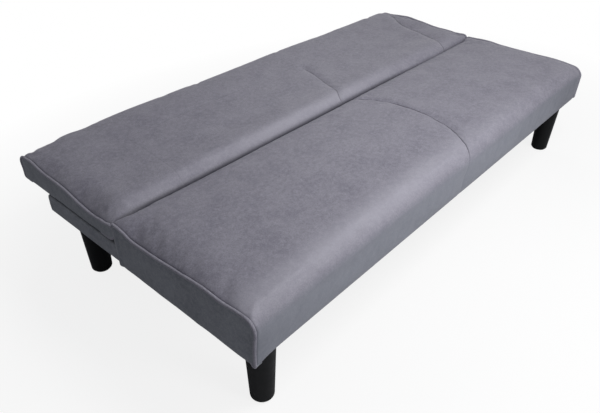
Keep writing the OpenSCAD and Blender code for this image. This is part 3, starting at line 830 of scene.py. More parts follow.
@dataclass(frozen=True)
class FibreSheet(Finish):
    """Felt or spunbond polypropylene: loose fibres pressed or welded together."""

    base: str
    light: str
    fibre_mm: float
    weld_mm: float
    roughness: float = 0.92
    sheen: float = 0.15

    def inputs(self, tree: NodeTree, place: NodeSocket) -> dict[str, object]:
        """Lays out the fibres and the pits between them.

        Args:
            tree: the material's node tree.
            place: the socket of the place on the object.

        Returns:
            The principled shader's inputs, as values or sockets by name.
        """
        fibres = add_node(tree, "TexNoise", patterned(place, self.fibre_mm, Detail=4.0, Roughness=0.7))
        welds = add_node(tree, "TexVoronoi", patterned(place, self.weld_mm, Randomness=0.15), "Distance")
        # Light and dark fibres, and the grid of small pits where the sheet was welded
        colour = Tint(self.light, 0.3, 0.75).over(tree, srgb(self.base), fibres)
        pits = add_node(tree, "MapRange", (welds, 0.05, 0.3, 0.0, 1.0))
        height = add_node(tree, "Math", (fibres, pits), operation="ADD")
        bump = add_node(tree, "Bump", {"Height": height, "Strength": 0.5, "Distance": 0.0004})
        return {"Base Color": colour, "Normal": bump, "Roughness": self.roughness, "Sheen Weight": self.sheen}


SUEDE = FauxSuede("faux_suede_grey")
END_SUEDE = FauxSuede("faux_suede_end", "#83868D", brushed_up="#8F9299", brushed_down="#75787F")
# The piping's copy of the suede is a little paler: painted light, for a cord that catches the light
PIPING_SUEDE = FauxSuede(
    "faux_suede_piping",
    "#8E8C97",
    brushed_up="#9896A1",
    brushed_down="#82808B",
    brush_mark_mm=6.0,
    cloud_mm=40.0,
)
LEG_PLASTIC = MouldedPlastic("polypropylene_black", "#0E0F10", 0.46)
GLIDE_PLASTIC = MouldedPlastic("polyethylene_glide", "#3A3C3D", 0.50, scuff="#4A4C4D")
TIMBER_ALONG_X = SawnTimber("pine_along_x", (0.10, 1.0, 1.0))
TIMBER_ALONG_Y = SawnTimber("pine_along_y", (1.0, 0.10, 1.0))
ZINC_PLATE = PlatedSteel("zinc_plated_steel", "#B9BCBE", "#9A9DA0", 0.32)
SPRING_WIRE = PlatedSteel("phosphated_spring_wire", "#6A6C6E", "#55575A", 0.42, spangle_mm=9.0)
PAWL_STEEL = PlatedSteel("blackened_pawl_steel", "#4B4C4E", "#3B3C3E", 0.38, spangle_mm=7.0)
FELT = FibreSheet("needled_felt", "#6E6C68", "#8A8883", 1.8, 30.0)
SPUNBOND = FibreSheet("spunbond_black", "#17181A", "#2A2B2E", 1.2, 2.4)


# ---- Covers ----------------------------------------------------------------

@dataclass(frozen=True)
class EndFall:
    """How far the padding falls towards one end of a cover, by place across the cover."""

    side: int
    reach: float
    drop: Knots
    power: float = 2.6

    def amount(self, x: Array, y: Array, half_length: float) -> Array:
        """The fall at each place, all of it at the end itself and none further in than the reach."""
        share = np.clip(1.0 - (half_length - self.side * x) / self.reach, 0.0, 1.0)
        return curve_through(self.drop, y) * share**self.power


@dataclass
class SewnCover:
    """A cover of brushed fabric, sewn and pulled over foam; the seat's and the back's are its two kinds."""

    name: str
    half_length: float
    profile: Profile = field(init=False)
    seams: list[Seam] = field(init=False, default_factory=list)
    # The stretch of the profile that is seen from above, on which a place follows from its y
    upper_span: tuple[float, float] = field(init=False)
    # The stretch that isn't held down all the way along X, by staples or by a frame behind it, and how far
    # past the front's and before the rear's edge the cloth is still held
    free_span: tuple[float, float] = field(init=False)
    still_held: tuple[float, float] = (0.012, 0.010)
    # Where each stretch of the profile ends, and the spacing of the rows of points on it
    row_ends: Knots = field(init=False)
    # The edge over which the cloth is pulled, how far behind it the painted highlight is brightest, and how
    # wide it is
    s_highlight_edge: float = field(init=False)
    highlight_place: tuple[float, float] = (0.004, 0.042)
    # The place of a seam that runs along X, towards which rows crowd on both sides
    crowd_at: float | None = field(init=False, default=None)
    puffs: Array | None = field(init=False, default=None)
    inflation: Inflation = field(init=False, default_factory=Inflation)
    puff_cap: float = 0.0042
    falls: tuple[EndFall, ...] = ()
    fall_from: float = 0.300
    fall_fade: float = 0.035
    # How strong the painted highlight along its edge is, and how much painted shade its hanging face gets, by
    # place along X
    highlight_along: Knots = LEVEL
    hanging_shade: Knots = LEVEL
    # How deep and how wide the cover dips towards the piping, and how dark and how wide the painted shade in
    # the groove beside it is
    end_dips: Knots = ((0.0030, 0.0032), (0.0018, 0.016))
    end_shade: tuple[float, float] = (0.6, 0.0028)
    column_spacing: float = 0.0095
    end_steps: int = 260

    def puff_weight(self, s: Array) -> Array:
        """How freely the foam pushes the cover out at s, from 0 to 1."""
        raise NotImplementedError

    def rumples(self, x: Array, s: Array) -> Array:
        """The cover's own soft unevenness, as a height."""
        raise NotImplementedError

    def crevice_shade(self, x: Array, s: Array) -> Array:
        """How much painted shade darkens the cloth in the crevice, from 0 to 1."""
        raise NotImplementedError

    def hanging(self, s: Array) -> Array:
        """How upright the cloth hangs, where it gets a cooler painted shade tone, from 0 to 1."""
        raise NotImplementedError

    def columns(self, rows: Array) -> Array:
        """The places along X of every line of points, for every row."""
        raise NotImplementedError

    def kept_cells(self, x: Array, s: Array) -> Array | None:
        """Which cells between the points are made, or None for all of them."""
        return None

    def settle(self, points: Array, s: Array) -> Array:
        """Lets the cover's top fall towards its ends, as far as its padding does there.

        Args:
            points: the cover's points, with a last axis of 3.
            s: the places along the profile.

        Returns:
            The same points, moved.
        """
        on_top = rise(points[..., 2], self.fall_from, over=self.fall_fade)
        for fall in self.falls:
            points[..., 2] -= fall.amount(points[..., 0], points[..., 1], self.half_length) * on_top
        return points

    def from_end(self, x: Array) -> Array:
        """The distance of each place from the nearer end."""
        return self.half_length - np.abs(x)

    def s_of_y(self, y: Array) -> Array:
        """Finds places along the profile by their y, where the cover is seen from above.

        Args:
            y: the places across the cover.

        Returns:
            The places along the profile.
        """
        start, end = self.upper_span
        inside = (self.profile.places >= start) & (self.profile.places <= end)
        return np.interp(y, self.profile.points[inside, 0], self.profile.places[inside])

    def on_profile(self, across: Knots) -> Knots:
        """A seam's places (y, x) as places (s, x)."""
        return tuple((float(self.s_of_y(y)), x) for y, x in across)

    def laid(self, x: Array, s: Array, height: Array) -> Array:
        """Points of the cover at places on the flat cloth, each at its height above the profile."""
        yz = self.profile.at(s) + self.profile.normals(s) * height[..., None]
        return self.settle(np.concatenate([x[..., None], yz], axis=-1), s)

    def end_line(self, side: int, inset: float, start: float = 0.0, end: float | None = None) -> Array:
        """The cover's edge at an end, set in.

        Args:
            side: LEFT or RIGHT.
            inset: how far it lies inside the cover's own line.
            start: where along the profile it starts.
            end: where it ends, or None for the profile's end.

        Returns:
            The points as (y, z).
        """
        s = np.linspace(start, self.profile.length if end is None else end, self.end_steps)
        x = np.full(s.shape, side * self.half_length)
        return self.laid(x, s, self.rumples(x, s) - inset)[:, 1:]

    def inflate(self) -> None:
        """Simulates the cover's swelling between its seams, and keeps it as a smooth field."""
        step = self.inflation.spacing
        cols = round(2 * self.half_length / step) + 1
        rows = round(self.profile.length / step) + 1
        x, s = np.meshgrid(
            np.linspace(-self.half_length, self.half_length, cols), np.linspace(0, self.profile.length, rows)
        )
        start, end = self.free_span
        sewn = (s < start) | (s > end) | (np.abs(x) > self.half_length - step / 2)
        for seam in self.seams:
            if seam.strength > self.inflation.holding_strength:
                sewn |= seam.distance(x, s) < step * self.inflation.seam_reach
        base = self.laid(x, s, np.zeros(x.shape))
        moves = self.inflation.run(base, sewn)
        normal = np.concatenate([np.zeros(x.shape + (1,)), self.profile.normals(s)], axis=-1)
        out = (moves * normal).sum(axis=-1)
        self.puffs = self.puff_cap * np.tanh(out / self.puff_cap)

    def puff(self, x: Array, s: Array) -> Array:
        """The simulated swelling at places on the flat cloth.

        Args:
            x: the places along X.
            s: the places along the profile.

        Returns:
            A height for each place.
        """
        if self.puffs is None:
            return np.zeros(x.shape)
        rows, cols = self.puffs.shape
        row = s / self.profile.length * (rows - 1)
        col = (x + self.half_length) / (2 * self.half_length) * (cols - 1)
        return sample(self.puffs, row, col) * self.puff_weight(s)

    def relief(self, x: Array, s: Array) -> Array:
        """The cover's whole height over its profile.

        Args:
            x: the places along X.
            s: the places along the profile.

        Returns:
            A height for each place.
        """
        height = self.puff(x, s) + self.rumples(x, s)
        for seam in self.seams:
            height += seam.groove(x, s)
        for depth, width in self.end_dips:
            height = height - depth * hump(self.from_end(x), 0.0, width)
        return height

    def marks(self, x: Array, s: Array) -> dict[str, Array]:
        """Where the cloth is drawn darker, along its seams and as painted shade in the crevice, beside the
        piping and on a hanging face, and where it gets a painted highlight or a cooler painted shade tone.

        Args:
            x: the places along X.
            s: the places along the profile.

        Returns:
            Values for each place, by the name that the fabric reads.
        """
        # Painted shade in the crevice, in the groove beside the piping and on a hanging face, under the dark
        # seam lines; all of it goes in the seam mark
        dark, width = self.end_shade
        hanging = self.hanging(s)
        shade = np.maximum(self.crevice_shade(x, s), dark * hump(self.from_end(x), 0.0, width))
        shade = np.maximum(shade, curve_through(self.hanging_shade, x) * hanging)
        for seam in self.seams:
            shade = np.maximum(shade, seam.shade(x, s))
        behind, width = self.highlight_place
        stretched = curve_through(self.highlight_along, x) * hump(s, self.s_highlight_edge + behind, width)
        return {"seam": shade, "stretched": stretched, "hanging": hanging}

    def build(self) -> Object:
        """Makes the cover's mesh.

        Returns:
            The new object.
        """
        rows, start = [], 0.0
        for end, step in self.row_ends:
            shares = np.array(spread(end - start, step, start == self.crowd_at, end == self.crowd_at))
            rows.append(start + shares * (end - start))
            start = end
        rows = np.concatenate([*rows, [start]])
        x = self.columns(rows)
        s = np.broadcast_to(rows[:, None], x.shape)
        points = self.laid(x, s, self.relief(x, s))
        cover = grid_object(self.name, points, kept=self.kept_cells(x, s), marks=self.marks(x, s))
        return thicken(cover, FABRIC_T)


@dataclass
class SeatCushion(SewnCover):
    """The seat box's padded cover: hem, front face, round edge, crowned top and rear face in the crevice."""

    front_round: float = 0.038
    rear_round: float = 0.012
    crown: float = 0.008
    edge_round: float = 0.007
    hem: float = 0.020
    piping_tuck: float = 0.010
    # Painted shade: the front face is drawn darker towards the right end
    hanging_shade: Knots = ((0.30, 0.0), (0.42, 0.08), (0.60, 0.10), (0.76, 0.27))
    ear_drop: float = 0.013
    right_ear_drop: float = 0.001
    # How the front corners' drop fades, by distance from the end
    ear_shape: Knots = (
        (0.0, 1.0), (0.010, 0.90), (0.020, 0.50), (0.030, 0.24), (0.045, 0.14), (0.070, 0.0),
    )
    # The left front corner bulges forwards under its round edge and is tucked back at the bottom, by height
    corner_bulge: Knots = (
        (0.215, 0.0015), (0.254, 0.0012), (0.285, -0.0012), (0.313, -0.0040), (0.335, -0.0026), (0.352, 0.0),
    )
    bulge_reach: float = 0.030
    # The end panels' lower edge comes down from the front corner over this length and hangs below the boards,
    # and their rear edge stands out in a loose fold
    panel_lift: float = 0.028
    panel_drop: float = 0.0045
    panel_fold: float = 0.0038
    # The rear corners lean back over the other cushion's nose, from this place (y, z) on
    rear_lean: float = 0.014
    lean_reach: float = 0.060
    lean_from: tuple[float, float] = (-0.030, 0.318)
    # How strong the painted highlight along the round front edge is, by place along X
    highlight_along: Knots = (
        (-0.893, 0.70), (-0.600, 0.88), (-0.430, 0.92), (-0.200, 0.82), (0.100, 0.55), (0.420, 0.16),
        (0.893, 0.10),
    )
    # The ends are flatter than the crowned middle; the left front corner stands up, the right one is softer
    falls: tuple[EndFall, ...] = (
        EndFall(LEFT, 0.100, (
            (-0.470, -0.003), (-0.446, 0.002), (-0.420, 0.005), (-0.376, 0.012), (-0.335, 0.011),
            (-0.285, 0.014), (-0.244, 0.019), (-0.190, 0.023), (-0.147, 0.025), (-0.104, 0.025),
            (-0.072, 0.025), (-0.050, 0.022), (-0.022, 0.012), (0.000, 0.007),
        )),
        EndFall(RIGHT, 0.120, (
            (-0.470, 0.008), (-0.432, 0.006), (-0.404, 0.004), (-0.363, 0.003), (-0.301, 0.0060),
            (-0.238, 0.0070), (-0.173, 0.0070), (-0.128, 0.0045), (-0.082, -0.0015), (-0.050, -0.0030),
            (-0.010, -0.0020),
        )),
    )
    # The one seam of the seat, as places (y, x) across the top: it bows from the front face to the crevice
    arc_seam: Knots = (
        (-0.462, 0.012), (-0.423, 0.045), (-0.363, 0.083), (-0.305, 0.100), (-0.248, 0.112), (-0.168, 0.116),
        (-0.092, 0.107), (-0.050, 0.092), (-0.008, 0.069), (0.011, 0.056),
    )
    seam_on_front: float = -0.030
    # Between which places it comes in, measured from the front face's upper end
    seam_fade: tuple[float, float] = (-0.020, 0.040)
    long_waves: Layers = ((0.0011, 0.19, 3), (0.0006, 0.075, 4))
    # The front face's own waves, and the share by which X counts for them, as they run along it
    face_waves: Layers = ((0.0008, 0.055, 5),)
    face_stretch: float = 0.8
    # How freely the wadding on the front's boards swells, against the foam of the top
    board_share: float = 0.35
    # The rear face ends just above the skirt
    skirt_gap: float = 0.0004
    # How quickly and how late painted shade comes in on the rear edge on its way round into the crevice
    dark_steepness: float = 1.4
    dark_delay: float = 0.45

    def __post_init__(self) -> None:
        """Takes the seat box's outline from the frame and lays out the cloth."""
        low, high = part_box("seat_cover")
        self.front, self.rear, self.bottom = low.y, high.y, low.z
        edge = high.z - self.crown
        rear_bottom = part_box("rear_skirt")[1].z + self.skirt_gap
        r = self.edge_round
        corner = arc(self.front + r, self.bottom + r, r, 270, 180, 8)
        front = arc(self.front + self.front_round, edge - self.front_round, self.front_round, 180, 90)
        rear = arc(self.rear - self.rear_round, edge - self.rear_round, self.rear_round, 90, 0)
        top = crowned((self.front + self.front_round, edge), (self.rear - self.rear_round, edge), self.crown)
        hem_start = np.array([[self.front + self.hem, self.bottom]])
        rear_end = np.array([[self.rear, rear_bottom]])
        self.profile = Profile(np.concatenate([hem_start, corner, front, top, rear, rear_end]))
        first_front = 1 + len(corner)
        first_rear = first_front + len(front) + len(top)
        places = [1, 1 + len(corner) // 2, first_front, first_front + len(front) - 1, first_rear]
        places.append(first_rear + len(rear) - 1)
        self.s_corner, self.s_edge, self.s_face, self.s_top, self.s_rear, self.s_crevice = (
            float(s) for s in self.profile.places[places]
        )
        self.upper_span = (self.s_face, self.s_crevice)
        front_held, rear_held = self.still_held
        self.free_span = (self.s_edge + front_held, self.s_crevice - rear_held)
        self.s_highlight_edge = self.s_top
        self.row_ends = (
            (self.s_corner, 0.005),
            (self.s_edge, 0.0014),
            (self.s_face, 0.007),
            (self.s_top, 0.0034),
            (self.s_rear, 0.0075),
            (self.s_crevice, 0.0022),
            (self.profile.length, 0.008),
        )
        s = np.linspace(self.s_edge, self.profile.length, 60)
        path = np.stack([self.seam_x(s), s], axis=1)
        faint, full = self.seam_fade
        self.seams = [Seam(path, fade=(self.s_face + faint, self.s_face + full))]

    def seam_x(self, s: Array) -> Array:
        """Where the seat's seam runs, for every place along the profile."""
        return curve_through(((self.s_edge, self.seam_on_front), *self.on_profile(self.arc_seam)), s)

    def puff_weight(self, s: Array) -> Array:
        """Full on the top, less on the boards of the front, none in the crevice."""
        clear = 1.0 - rise(s, self.s_rear, over=self.s_crevice - self.s_rear)
        return (self.board_share + (1.0 - self.board_share) * rise(s, self.s_face, over=0.05)) * clear

    def rumples(self, x: Array, s: Array) -> Array:
        """Long soft waves, and shorter ones on the wadding of the front face.

        Args:
            x: the places along X.
            s: the places along the profile.

        Returns:
            A height for each place.
        """
        free = 1.0 - rise(s, self.s_rear, over=0.03)
        on_face = 1.0 - rise(s, self.s_face, over=0.06)
        held = rise(s, self.s_edge, over=0.03)
        face_waves = on_face * layered(x * self.face_stretch, s, self.face_waves)
        return (layered(x, s, self.long_waves) + face_waves) * free * held

    def settle(self, points: Array, s: Array) -> Array:
        """Lets the top fall to its ends, the front corners hang and bulge, and the rear corners lean back.

        Args:
            points: the cover's points, with a last axis of 3.
            s: the places along the profile.

        Returns:
            The same points, moved.
        """
        points = super().settle(points, s)
        from_end = self.from_end(points[..., 0])
        on_left = points[..., 0] < 0
        under_top = 1.0 - rise(s, self.s_top, over=0.010)
        at_corner = on_left * ease(1.0 - from_end / self.bulge_reach) * under_top
        points[..., 1] += curve_through(self.corner_bulge, points[..., 2]) * at_corner
        low_on_face = (1.0 - rise(s, self.s_edge, over=0.060)) * ease(s / self.s_corner)
        drop = np.where(on_left, self.ear_drop, self.right_ear_drop) * curve_through(self.ear_shape, from_end)
        points[..., 2] -= drop * low_on_face
        lean_y, lean_z = self.lean_from
        at_rear = rise(points[..., 1], lean_y, over=0.035) * rise(points[..., 2], lean_z, over=0.022)
        points[..., 1] += self.rear_lean * ease(1.0 - from_end / self.lean_reach) * at_rear
        return points

    def crevice_shade(self, x: Array, s: Array) -> Array:
        """The seat's rear face gets painted shade from halfway round its edge, and less where the crevice
        closes up.

        Args:
            x: the places along X.
            s: the places along the profile.

        Returns:
            A darkness for each place, from 0 to 1.
        """
        way_round = self.dark_steepness * (s - self.s_rear) / (self.s_crevice - self.s_rear)
        dark = ease(way_round - self.dark_delay)
        return dark * (1.0 - CLOSED_UP_SHADE * closing_up(x))

    def hanging(self, s: Array) -> Array:
        """The front face hangs, up to its round edge."""
        return 1.0 - rise(s, self.s_face - 0.008, over=0.034)

    def columns(self, rows: Array) -> Array:
        """The lines of points run beside the seam and crowd towards it and towards both ends.

        Args:
            rows: the place along the profile of each row.

        Returns:
            The places along X, by row and line.
        """
        seam_x, half = self.seam_x(rows)[:, None], self.half_length
        shares = spread(half, self.column_spacing, True, True)
        left, right = np.array(shares)[None, :], np.array([*shares, 1.0])[None, :]
        return np.concatenate([-half + left * (seam_x + half), seam_x + right * (half - seam_x)], axis=1)


@dataclass
class BackCushion(SewnCover):
    """The back's padded cover: nose, crowned top, outer edge and the hems turned in underneath."""

    nose_round: float = 0.033
    outer_round: float = 0.034
    lower_round: float = 0.009
    lift: float = 0.012
    crown: float = 0.008
    hem: float = 0.036
    hinge_slot: tuple[float, float] = (0.8597, 0.8753)
    slot_above_pivot: float = 0.004
    # Lines of points lie this close between guides that are closer together than narrow
    slot_spacing: float = 0.0026
    narrow: float = 0.03
    # Where the lines beside the right seam run on under the outer edge
    right_seam_end: float = 0.800
    long_seam_y: float = 0.3125
    wide_hem_from: float = 0.228
    # How strong the left, middle, right and long seam are, and the radius in which the long one turns
    seam_strengths: tuple[float, ...] = (0.16, 0.7, 0.9, 0.22)
    seam_turn: float = 0.030
    end_steps: int = 320
    still_held: tuple[float, float] = (0.006, 0.006)
    highlight_place: tuple[float, float] = (0.002, 0.024)
    soft_waves: Layers = ((0.0013, 0.17, 11), (0.0007, 0.070, 12))
    # Small pleats fan out from a point outside each end of the nose: their height, the phase that they gain
    # in a radian and how it wanders, how far out that point is, at what distance from it they are deepest
    # and how wide that ring is, and how much of them is left beside the piping
    pleat_height: float = 0.0011
    pleat_phase: float = 13.0
    pleat_waves: Layers = ((1.5, 0.04, 13),)
    pleat_centre: float = 0.012
    pleat_ring: tuple[float, float] = (0.028, 0.034)
    pleats_left: float = 0.3
    # How much of the nose's hollow goes where the crevice closes up
    hollow_filled: float = 0.8
    # The padding is fullest just behind the nose, and thinner around the nose's front
    nose_fullness: Knots = (
        (-0.025, 0.0), (0.000, -0.0045), (0.018, -0.0030), (0.040, 0.0036), (0.060, 0.0080), (0.078, 0.0096),
        (0.100, 0.0085), (0.130, 0.0045), (0.180, 0.0),
    )
    # The outer edge is fullest in the middle: how far it stands out, by place along X
    edge_fullness: Knots = (
        (-0.893, 0.003), (-0.870, 0.0035), (-0.850, 0.0050), (-0.835, 0.0045), (-0.810, 0.0086),
        (-0.785, 0.0110), (-0.760, 0.0117), (-0.740, 0.0118), (-0.720, 0.0102), (-0.700, 0.0096),
        (-0.670, 0.0113), (-0.635, 0.0126), (-0.550, 0.0144), (-0.380, 0.0144), (-0.180, 0.0126),
        (-0.030, 0.0126), (0.150, 0.0142), (0.500, 0.0115), (0.800, 0.0110), (0.860, 0.0100), (0.893, 0.0060),
    )
    edge_fullness_from: float = 0.250
    # How strong the painted highlight along the top of the nose is, by place along X
    highlight_along: Knots = (
        (-0.893, 0.42), (-0.600, 0.48), (-0.300, 0.82), (0.000, 0.90), (0.120, 0.80), (0.350, 0.42),
        (0.600, 0.38), (0.893, 0.30),
    )
    # The left end sags between its frame's rails, the right end is full
    falls: tuple[EndFall, ...] = (
        EndFall(LEFT, 0.080, (
            (0.014, -0.003), (0.030, 0.010), (0.050, 0.024), (0.075, 0.030), (0.101, 0.033), (0.125, 0.032),
            (0.152, 0.028), (0.180, 0.024), (0.205, 0.019), (0.235, 0.014), (0.262, 0.012), (0.300, 0.012),
            (0.345, 0.012), (0.376, 0.008), (0.405, 0.002), (0.440, 0.002), (0.478, 0.000),
        )),
        EndFall(RIGHT, 0.150, (
            (0.014, -0.009), (0.022, -0.012), (0.030, -0.010), (0.042, -0.0055), (0.061, 0.0015),
            (0.080, 0.0050), (0.104, 0.0032), (0.125, 0.0015), (0.160, 0.000), (0.202, 0.000),
            (0.239, -0.003), (0.282, -0.006), (0.325, -0.008), (0.375, -0.002), (0.424, 0.003),
            (0.478, 0.000),
        )),
    )
    # Seams that run across the top, as places (y, x)
    left_seam: Knots = (
        (0.030, -0.664), (0.090, -0.655), (0.150, -0.649), (0.200, -0.646), (0.256, -0.642), (0.3125, -0.641),
        (0.356, -0.612),
    )
    middle_seam: Knots = (
        (0.030, 0.026), (0.080, 0.058), (0.120, 0.073), (0.190, 0.100), (0.252, 0.117), (0.292, 0.121),
    )
    right_seam: Knots = (
        (0.018, 0.707), (0.080, 0.740), (0.141, 0.765), (0.206, 0.784), (0.264, 0.793), (0.300, 0.802),
        (0.330, 0.818), (0.393, 0.856),
    )

    def __post_init__(self) -> None:
        """Takes the back's outline from the frame and lays out the cloth."""
        low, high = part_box("back_cover")
        _, pivot_y, pivot_z = next(j for j in frame["joints"] if j["name"] == "back_hinge")["pos_m"]
        top, under = pivot_z + self.nose_round, low.z
        crest_end = high.y - self.outer_round
        parts = [
            np.array([[pivot_y + self.hem, under]]),
            arc(pivot_y, pivot_z, self.nose_round, 270, 90, 48),
            crowned((pivot_y, top), (crest_end, top + self.lift), self.crown),
            arc(crest_end, top + self.lift - self.outer_round, self.outer_round, 90, 0),
            arc(high.y - self.lower_round, under + self.lower_round, self.lower_round, 0, -90, 10),
            np.array([[high.y - self.lower_round - self.hem, under]]),
        ]
        self.profile = Profile(np.concatenate(parts))
        ends = np.cumsum([len(part) for part in parts]) - 1
        self.s_nose, self.s_crest, self.s_outer, self.s_outer_end, self.s_lower = (
            float(s) for s in self.profile.places[[1, *ends[1:5]]]
        )
        self.s_front_nose = self.s_nose + self.nose_round * math.radians(90)
        self.s_slot = self.s_front_nose + self.nose_round * math.asin(self.slot_above_pivot / self.nose_round)
        self.upper_span = (self.s_front_nose, self.s_outer_end)
        front_held, rear_held = self.still_held
        self.free_span = (self.s_front_nose + front_held, self.s_lower - rear_held)
        self.s_highlight_edge = self.s_crest
        self.s_long = self.crowd_at = float(self.s_of_y(self.long_seam_y))
        self.row_ends = (
            (self.s_nose, 0.009),
            (self.s_slot, 0.0045),
            (self.s_crest, 0.0034),
            (self.s_long, 0.0075),
            (self.s_outer, 0.0075),
            (self.s_outer_end, 0.0036),
            (self.s_lower, 0.0045),
            (self.profile.length, 0.009),
        )
        self.seams = self.lay_seams()

    def seam_x(self, knots: Knots, s: Array) -> Array:
        """Where a seam across the top runs, by place along the profile; past its end it goes straight on."""
        return curve_through(self.on_profile(knots), s)

    def lay_seams(self) -> list[Seam]:
        """Draws the back's seams on the flat cloth.

        Returns:
            The left, middle, right and long seam.
        """
        seams = []
        for knots, strength in zip((self.left_seam, self.middle_seam, self.right_seam), self.seam_strengths):
            s = np.linspace(self.s_front_nose, float(self.s_of_y(knots[-1][0])), 40)
            seams.append(Seam(np.stack([self.seam_x(knots, s), s], axis=1), strength))
        # The long seam runs from the left seam to the middle one, and turns into its end
        turn = self.seam_turn
        end_y, end_x = self.middle_seam[-1]
        long_x = np.linspace(self.left_seam[-2][1], end_x - turn, 24)
        bend = np.linspace(0, math.pi / 2, 9)[1:]
        s_end = float(self.s_of_y(end_y))
        path_x = np.concatenate([long_x, end_x - turn + turn * np.sin(bend)])
        bend_s = s_end + (self.s_long - s_end) * np.cos(bend)
        path_s = np.concatenate([np.full(long_x.shape, self.s_long), bend_s])
        seams.append(Seam(np.stack([path_x, path_s], axis=1), self.seam_strengths[-1]))
        return seams

    def puff_weight(self, s: Array) -> Array:
        """None in the crevice, full over the foam."""
        return rise(s, self.s_front_nose + 0.030, over=0.040) * (1.0 - rise(s, self.s_outer_end, over=0.02))

    def rumples(self, x: Array, s: Array) -> Array:
        """Soft waves, small pleats at the nose's ends, and the fullness of nose and outer edge.

        Args:
            x: the places along X.
            s: the places along the profile.

        Returns:
            A height for each place.
        """
        free = rise(s, self.s_front_nose + 0.010, over=0.030) * (1.0 - rise(s, self.s_outer_end, over=0.02))
        from_end = np.maximum(self.from_end(x), 0.0)
        along, out = s - self.s_crest, from_end + self.pleat_centre
        fan = np.arctan2(along, out) * self.pleat_phase + layered(x, s, self.pleat_waves)
        pleats = self.pleat_height * np.sin(fan) * hump(np.hypot(out, along), *self.pleat_ring)
        pleats *= self.pleats_left + (1.0 - self.pleats_left) * rise(from_end, 0.0, over=0.025)
        fullness = curve_through(self.nose_fullness, s - self.s_front_nose)
        hollow = rise(from_end, 0.055, over=0.04) * (1.0 - self.hollow_filled * closing_up(x))
        fullness = np.where(fullness < 0, fullness * hollow, fullness)
        s_from = float(self.s_of_y(self.edge_fullness_from))
        towards_edge = rise(s, s_from, over=self.s_outer - s_from)
        towards_edge *= 1.0 - rise(s, self.s_outer_end - 0.015, over=0.035)
        fullness = fullness + curve_through(self.edge_fullness, x) * towards_edge
        return (layered(x, s, self.soft_waves) + pleats) * free + fullness

    def crevice_shade(self, x: Array, s: Array) -> Array:
        """The nose gets painted shade where it turns down into the crevice, and less where the crevice closes
        up.

        Args:
            x: the places along X.
            s: the places along the profile.

        Returns:
            A darkness for each place, from 0 to 1.
        """
        closed = closing_up(x)
        dark = 1.0 - rise(s + 0.009 * closed, self.s_front_nose + 0.021, over=0.022)
        return dark * (1.0 - CLOSED_UP_SHADE * closed)

    def hanging(self, s: Array) -> Array:
        """The outer edge hangs."""
        return rise(s, self.s_outer_end - 0.026, over=0.034)

    def columns(self, rows: Array) -> Array:
        """The lines of points run beside the seams and crowd towards them, and beside the hinges' slots.

        Args:
            rows: the place along the profile of each row.

        Returns:
            The places along X, by row and line.
        """
        half, (slot_in, slot_out) = self.half_length, self.hinge_slot
        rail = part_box("back_end_rail_right")[0].x
        leave = 1.0 - rise(rows, self.s_outer, over=0.05)
        guides = [np.full(rows.shape, -v) for v in (half, slot_out, slot_in, rail)]
        fine = range(len(guides), len(guides) + 3)
        guides += [self.seam_x(self.left_seam, rows), self.seam_x(self.middle_seam, rows)]
        guides.append(self.seam_x(self.right_seam, rows) * leave + self.right_seam_end * (1.0 - leave))
        # Where the right seam comes close to the end, these shares spread the guides evenly beside it
        for place, share in ((rail, 0.25), (slot_in, 1 / 3), (slot_out, 0.5)):
            guides.append(np.maximum(place, guides[-1] + share * (half - guides[-1])))
        guides.append(np.full(rows.shape, half))
        lines = []
        for i, (a, b) in enumerate(zip(guides[:-1], guides[1:])):
            width = float(np.median(b - a))
            spacing = self.slot_spacing if width < self.narrow else self.column_spacing
            lines += [a + share * (b - a) for share in spread(width, spacing, i in fine, i + 1 in fine)]
        return np.stack([*lines, guides[-1]], axis=1)

    def kept_cells(self, x: Array, s: Array) -> Array:
        """All cells but those in the hinges' slots in the nose.

        Args:
            x: the places along X.
            s: the places along the profile.

        Returns:
            Whether each cell is made.
        """
        mid_x = np.abs(x[:-1, :-1] + x[1:, 1:]) / 2
        mid_s = (s[:-1, :-1] + s[1:, 1:]) / 2
        slot_in, slot_out = self.hinge_slot
        return ~((mid_x > slot_in) & (mid_x < slot_out) & (mid_s < self.s_slot))


# ---- Piping, end panels and skirts -----------------------------------------

@dataclass
class Piping:
    """Fabric covered cord, sewn in between a cover and its end panel."""

    name: str
    side: int
    line: Array
    end_x: float
    radius: float = 0.0040
    sides: int = 14
    end_round: float = 0.003
    # How far it sways along X and by what share its radius changes, each with the size of its waves
    sway: tuple[float, float] = (0.0005, 0.045)
    unevenness: tuple[float, float] = (0.05, 0.022)
    waves_from: float = -0.9
    seed: int = 1

    def build(self) -> Object:
        """Makes the cord along its line, slightly uneven as a hand-fed cord is.

        Returns:
            The new object.
        """
        gone = gone_along(self.line) + self.waves_from
        flat = np.zeros(gone.shape)
        x = self.side * (self.end_x - self.radius + layered(gone, flat, ((*self.sway, self.seed),)))
        line = np.concatenate([x[:, None], self.line], axis=1)
        radius = self.radius * (1.0 + layered(gone, flat, ((*self.unevenness, self.seed + 7),)))
        return tube(self.name, line, np.array([1.0, 0.0, 0.0]), radius, self.sides, self.end_round)


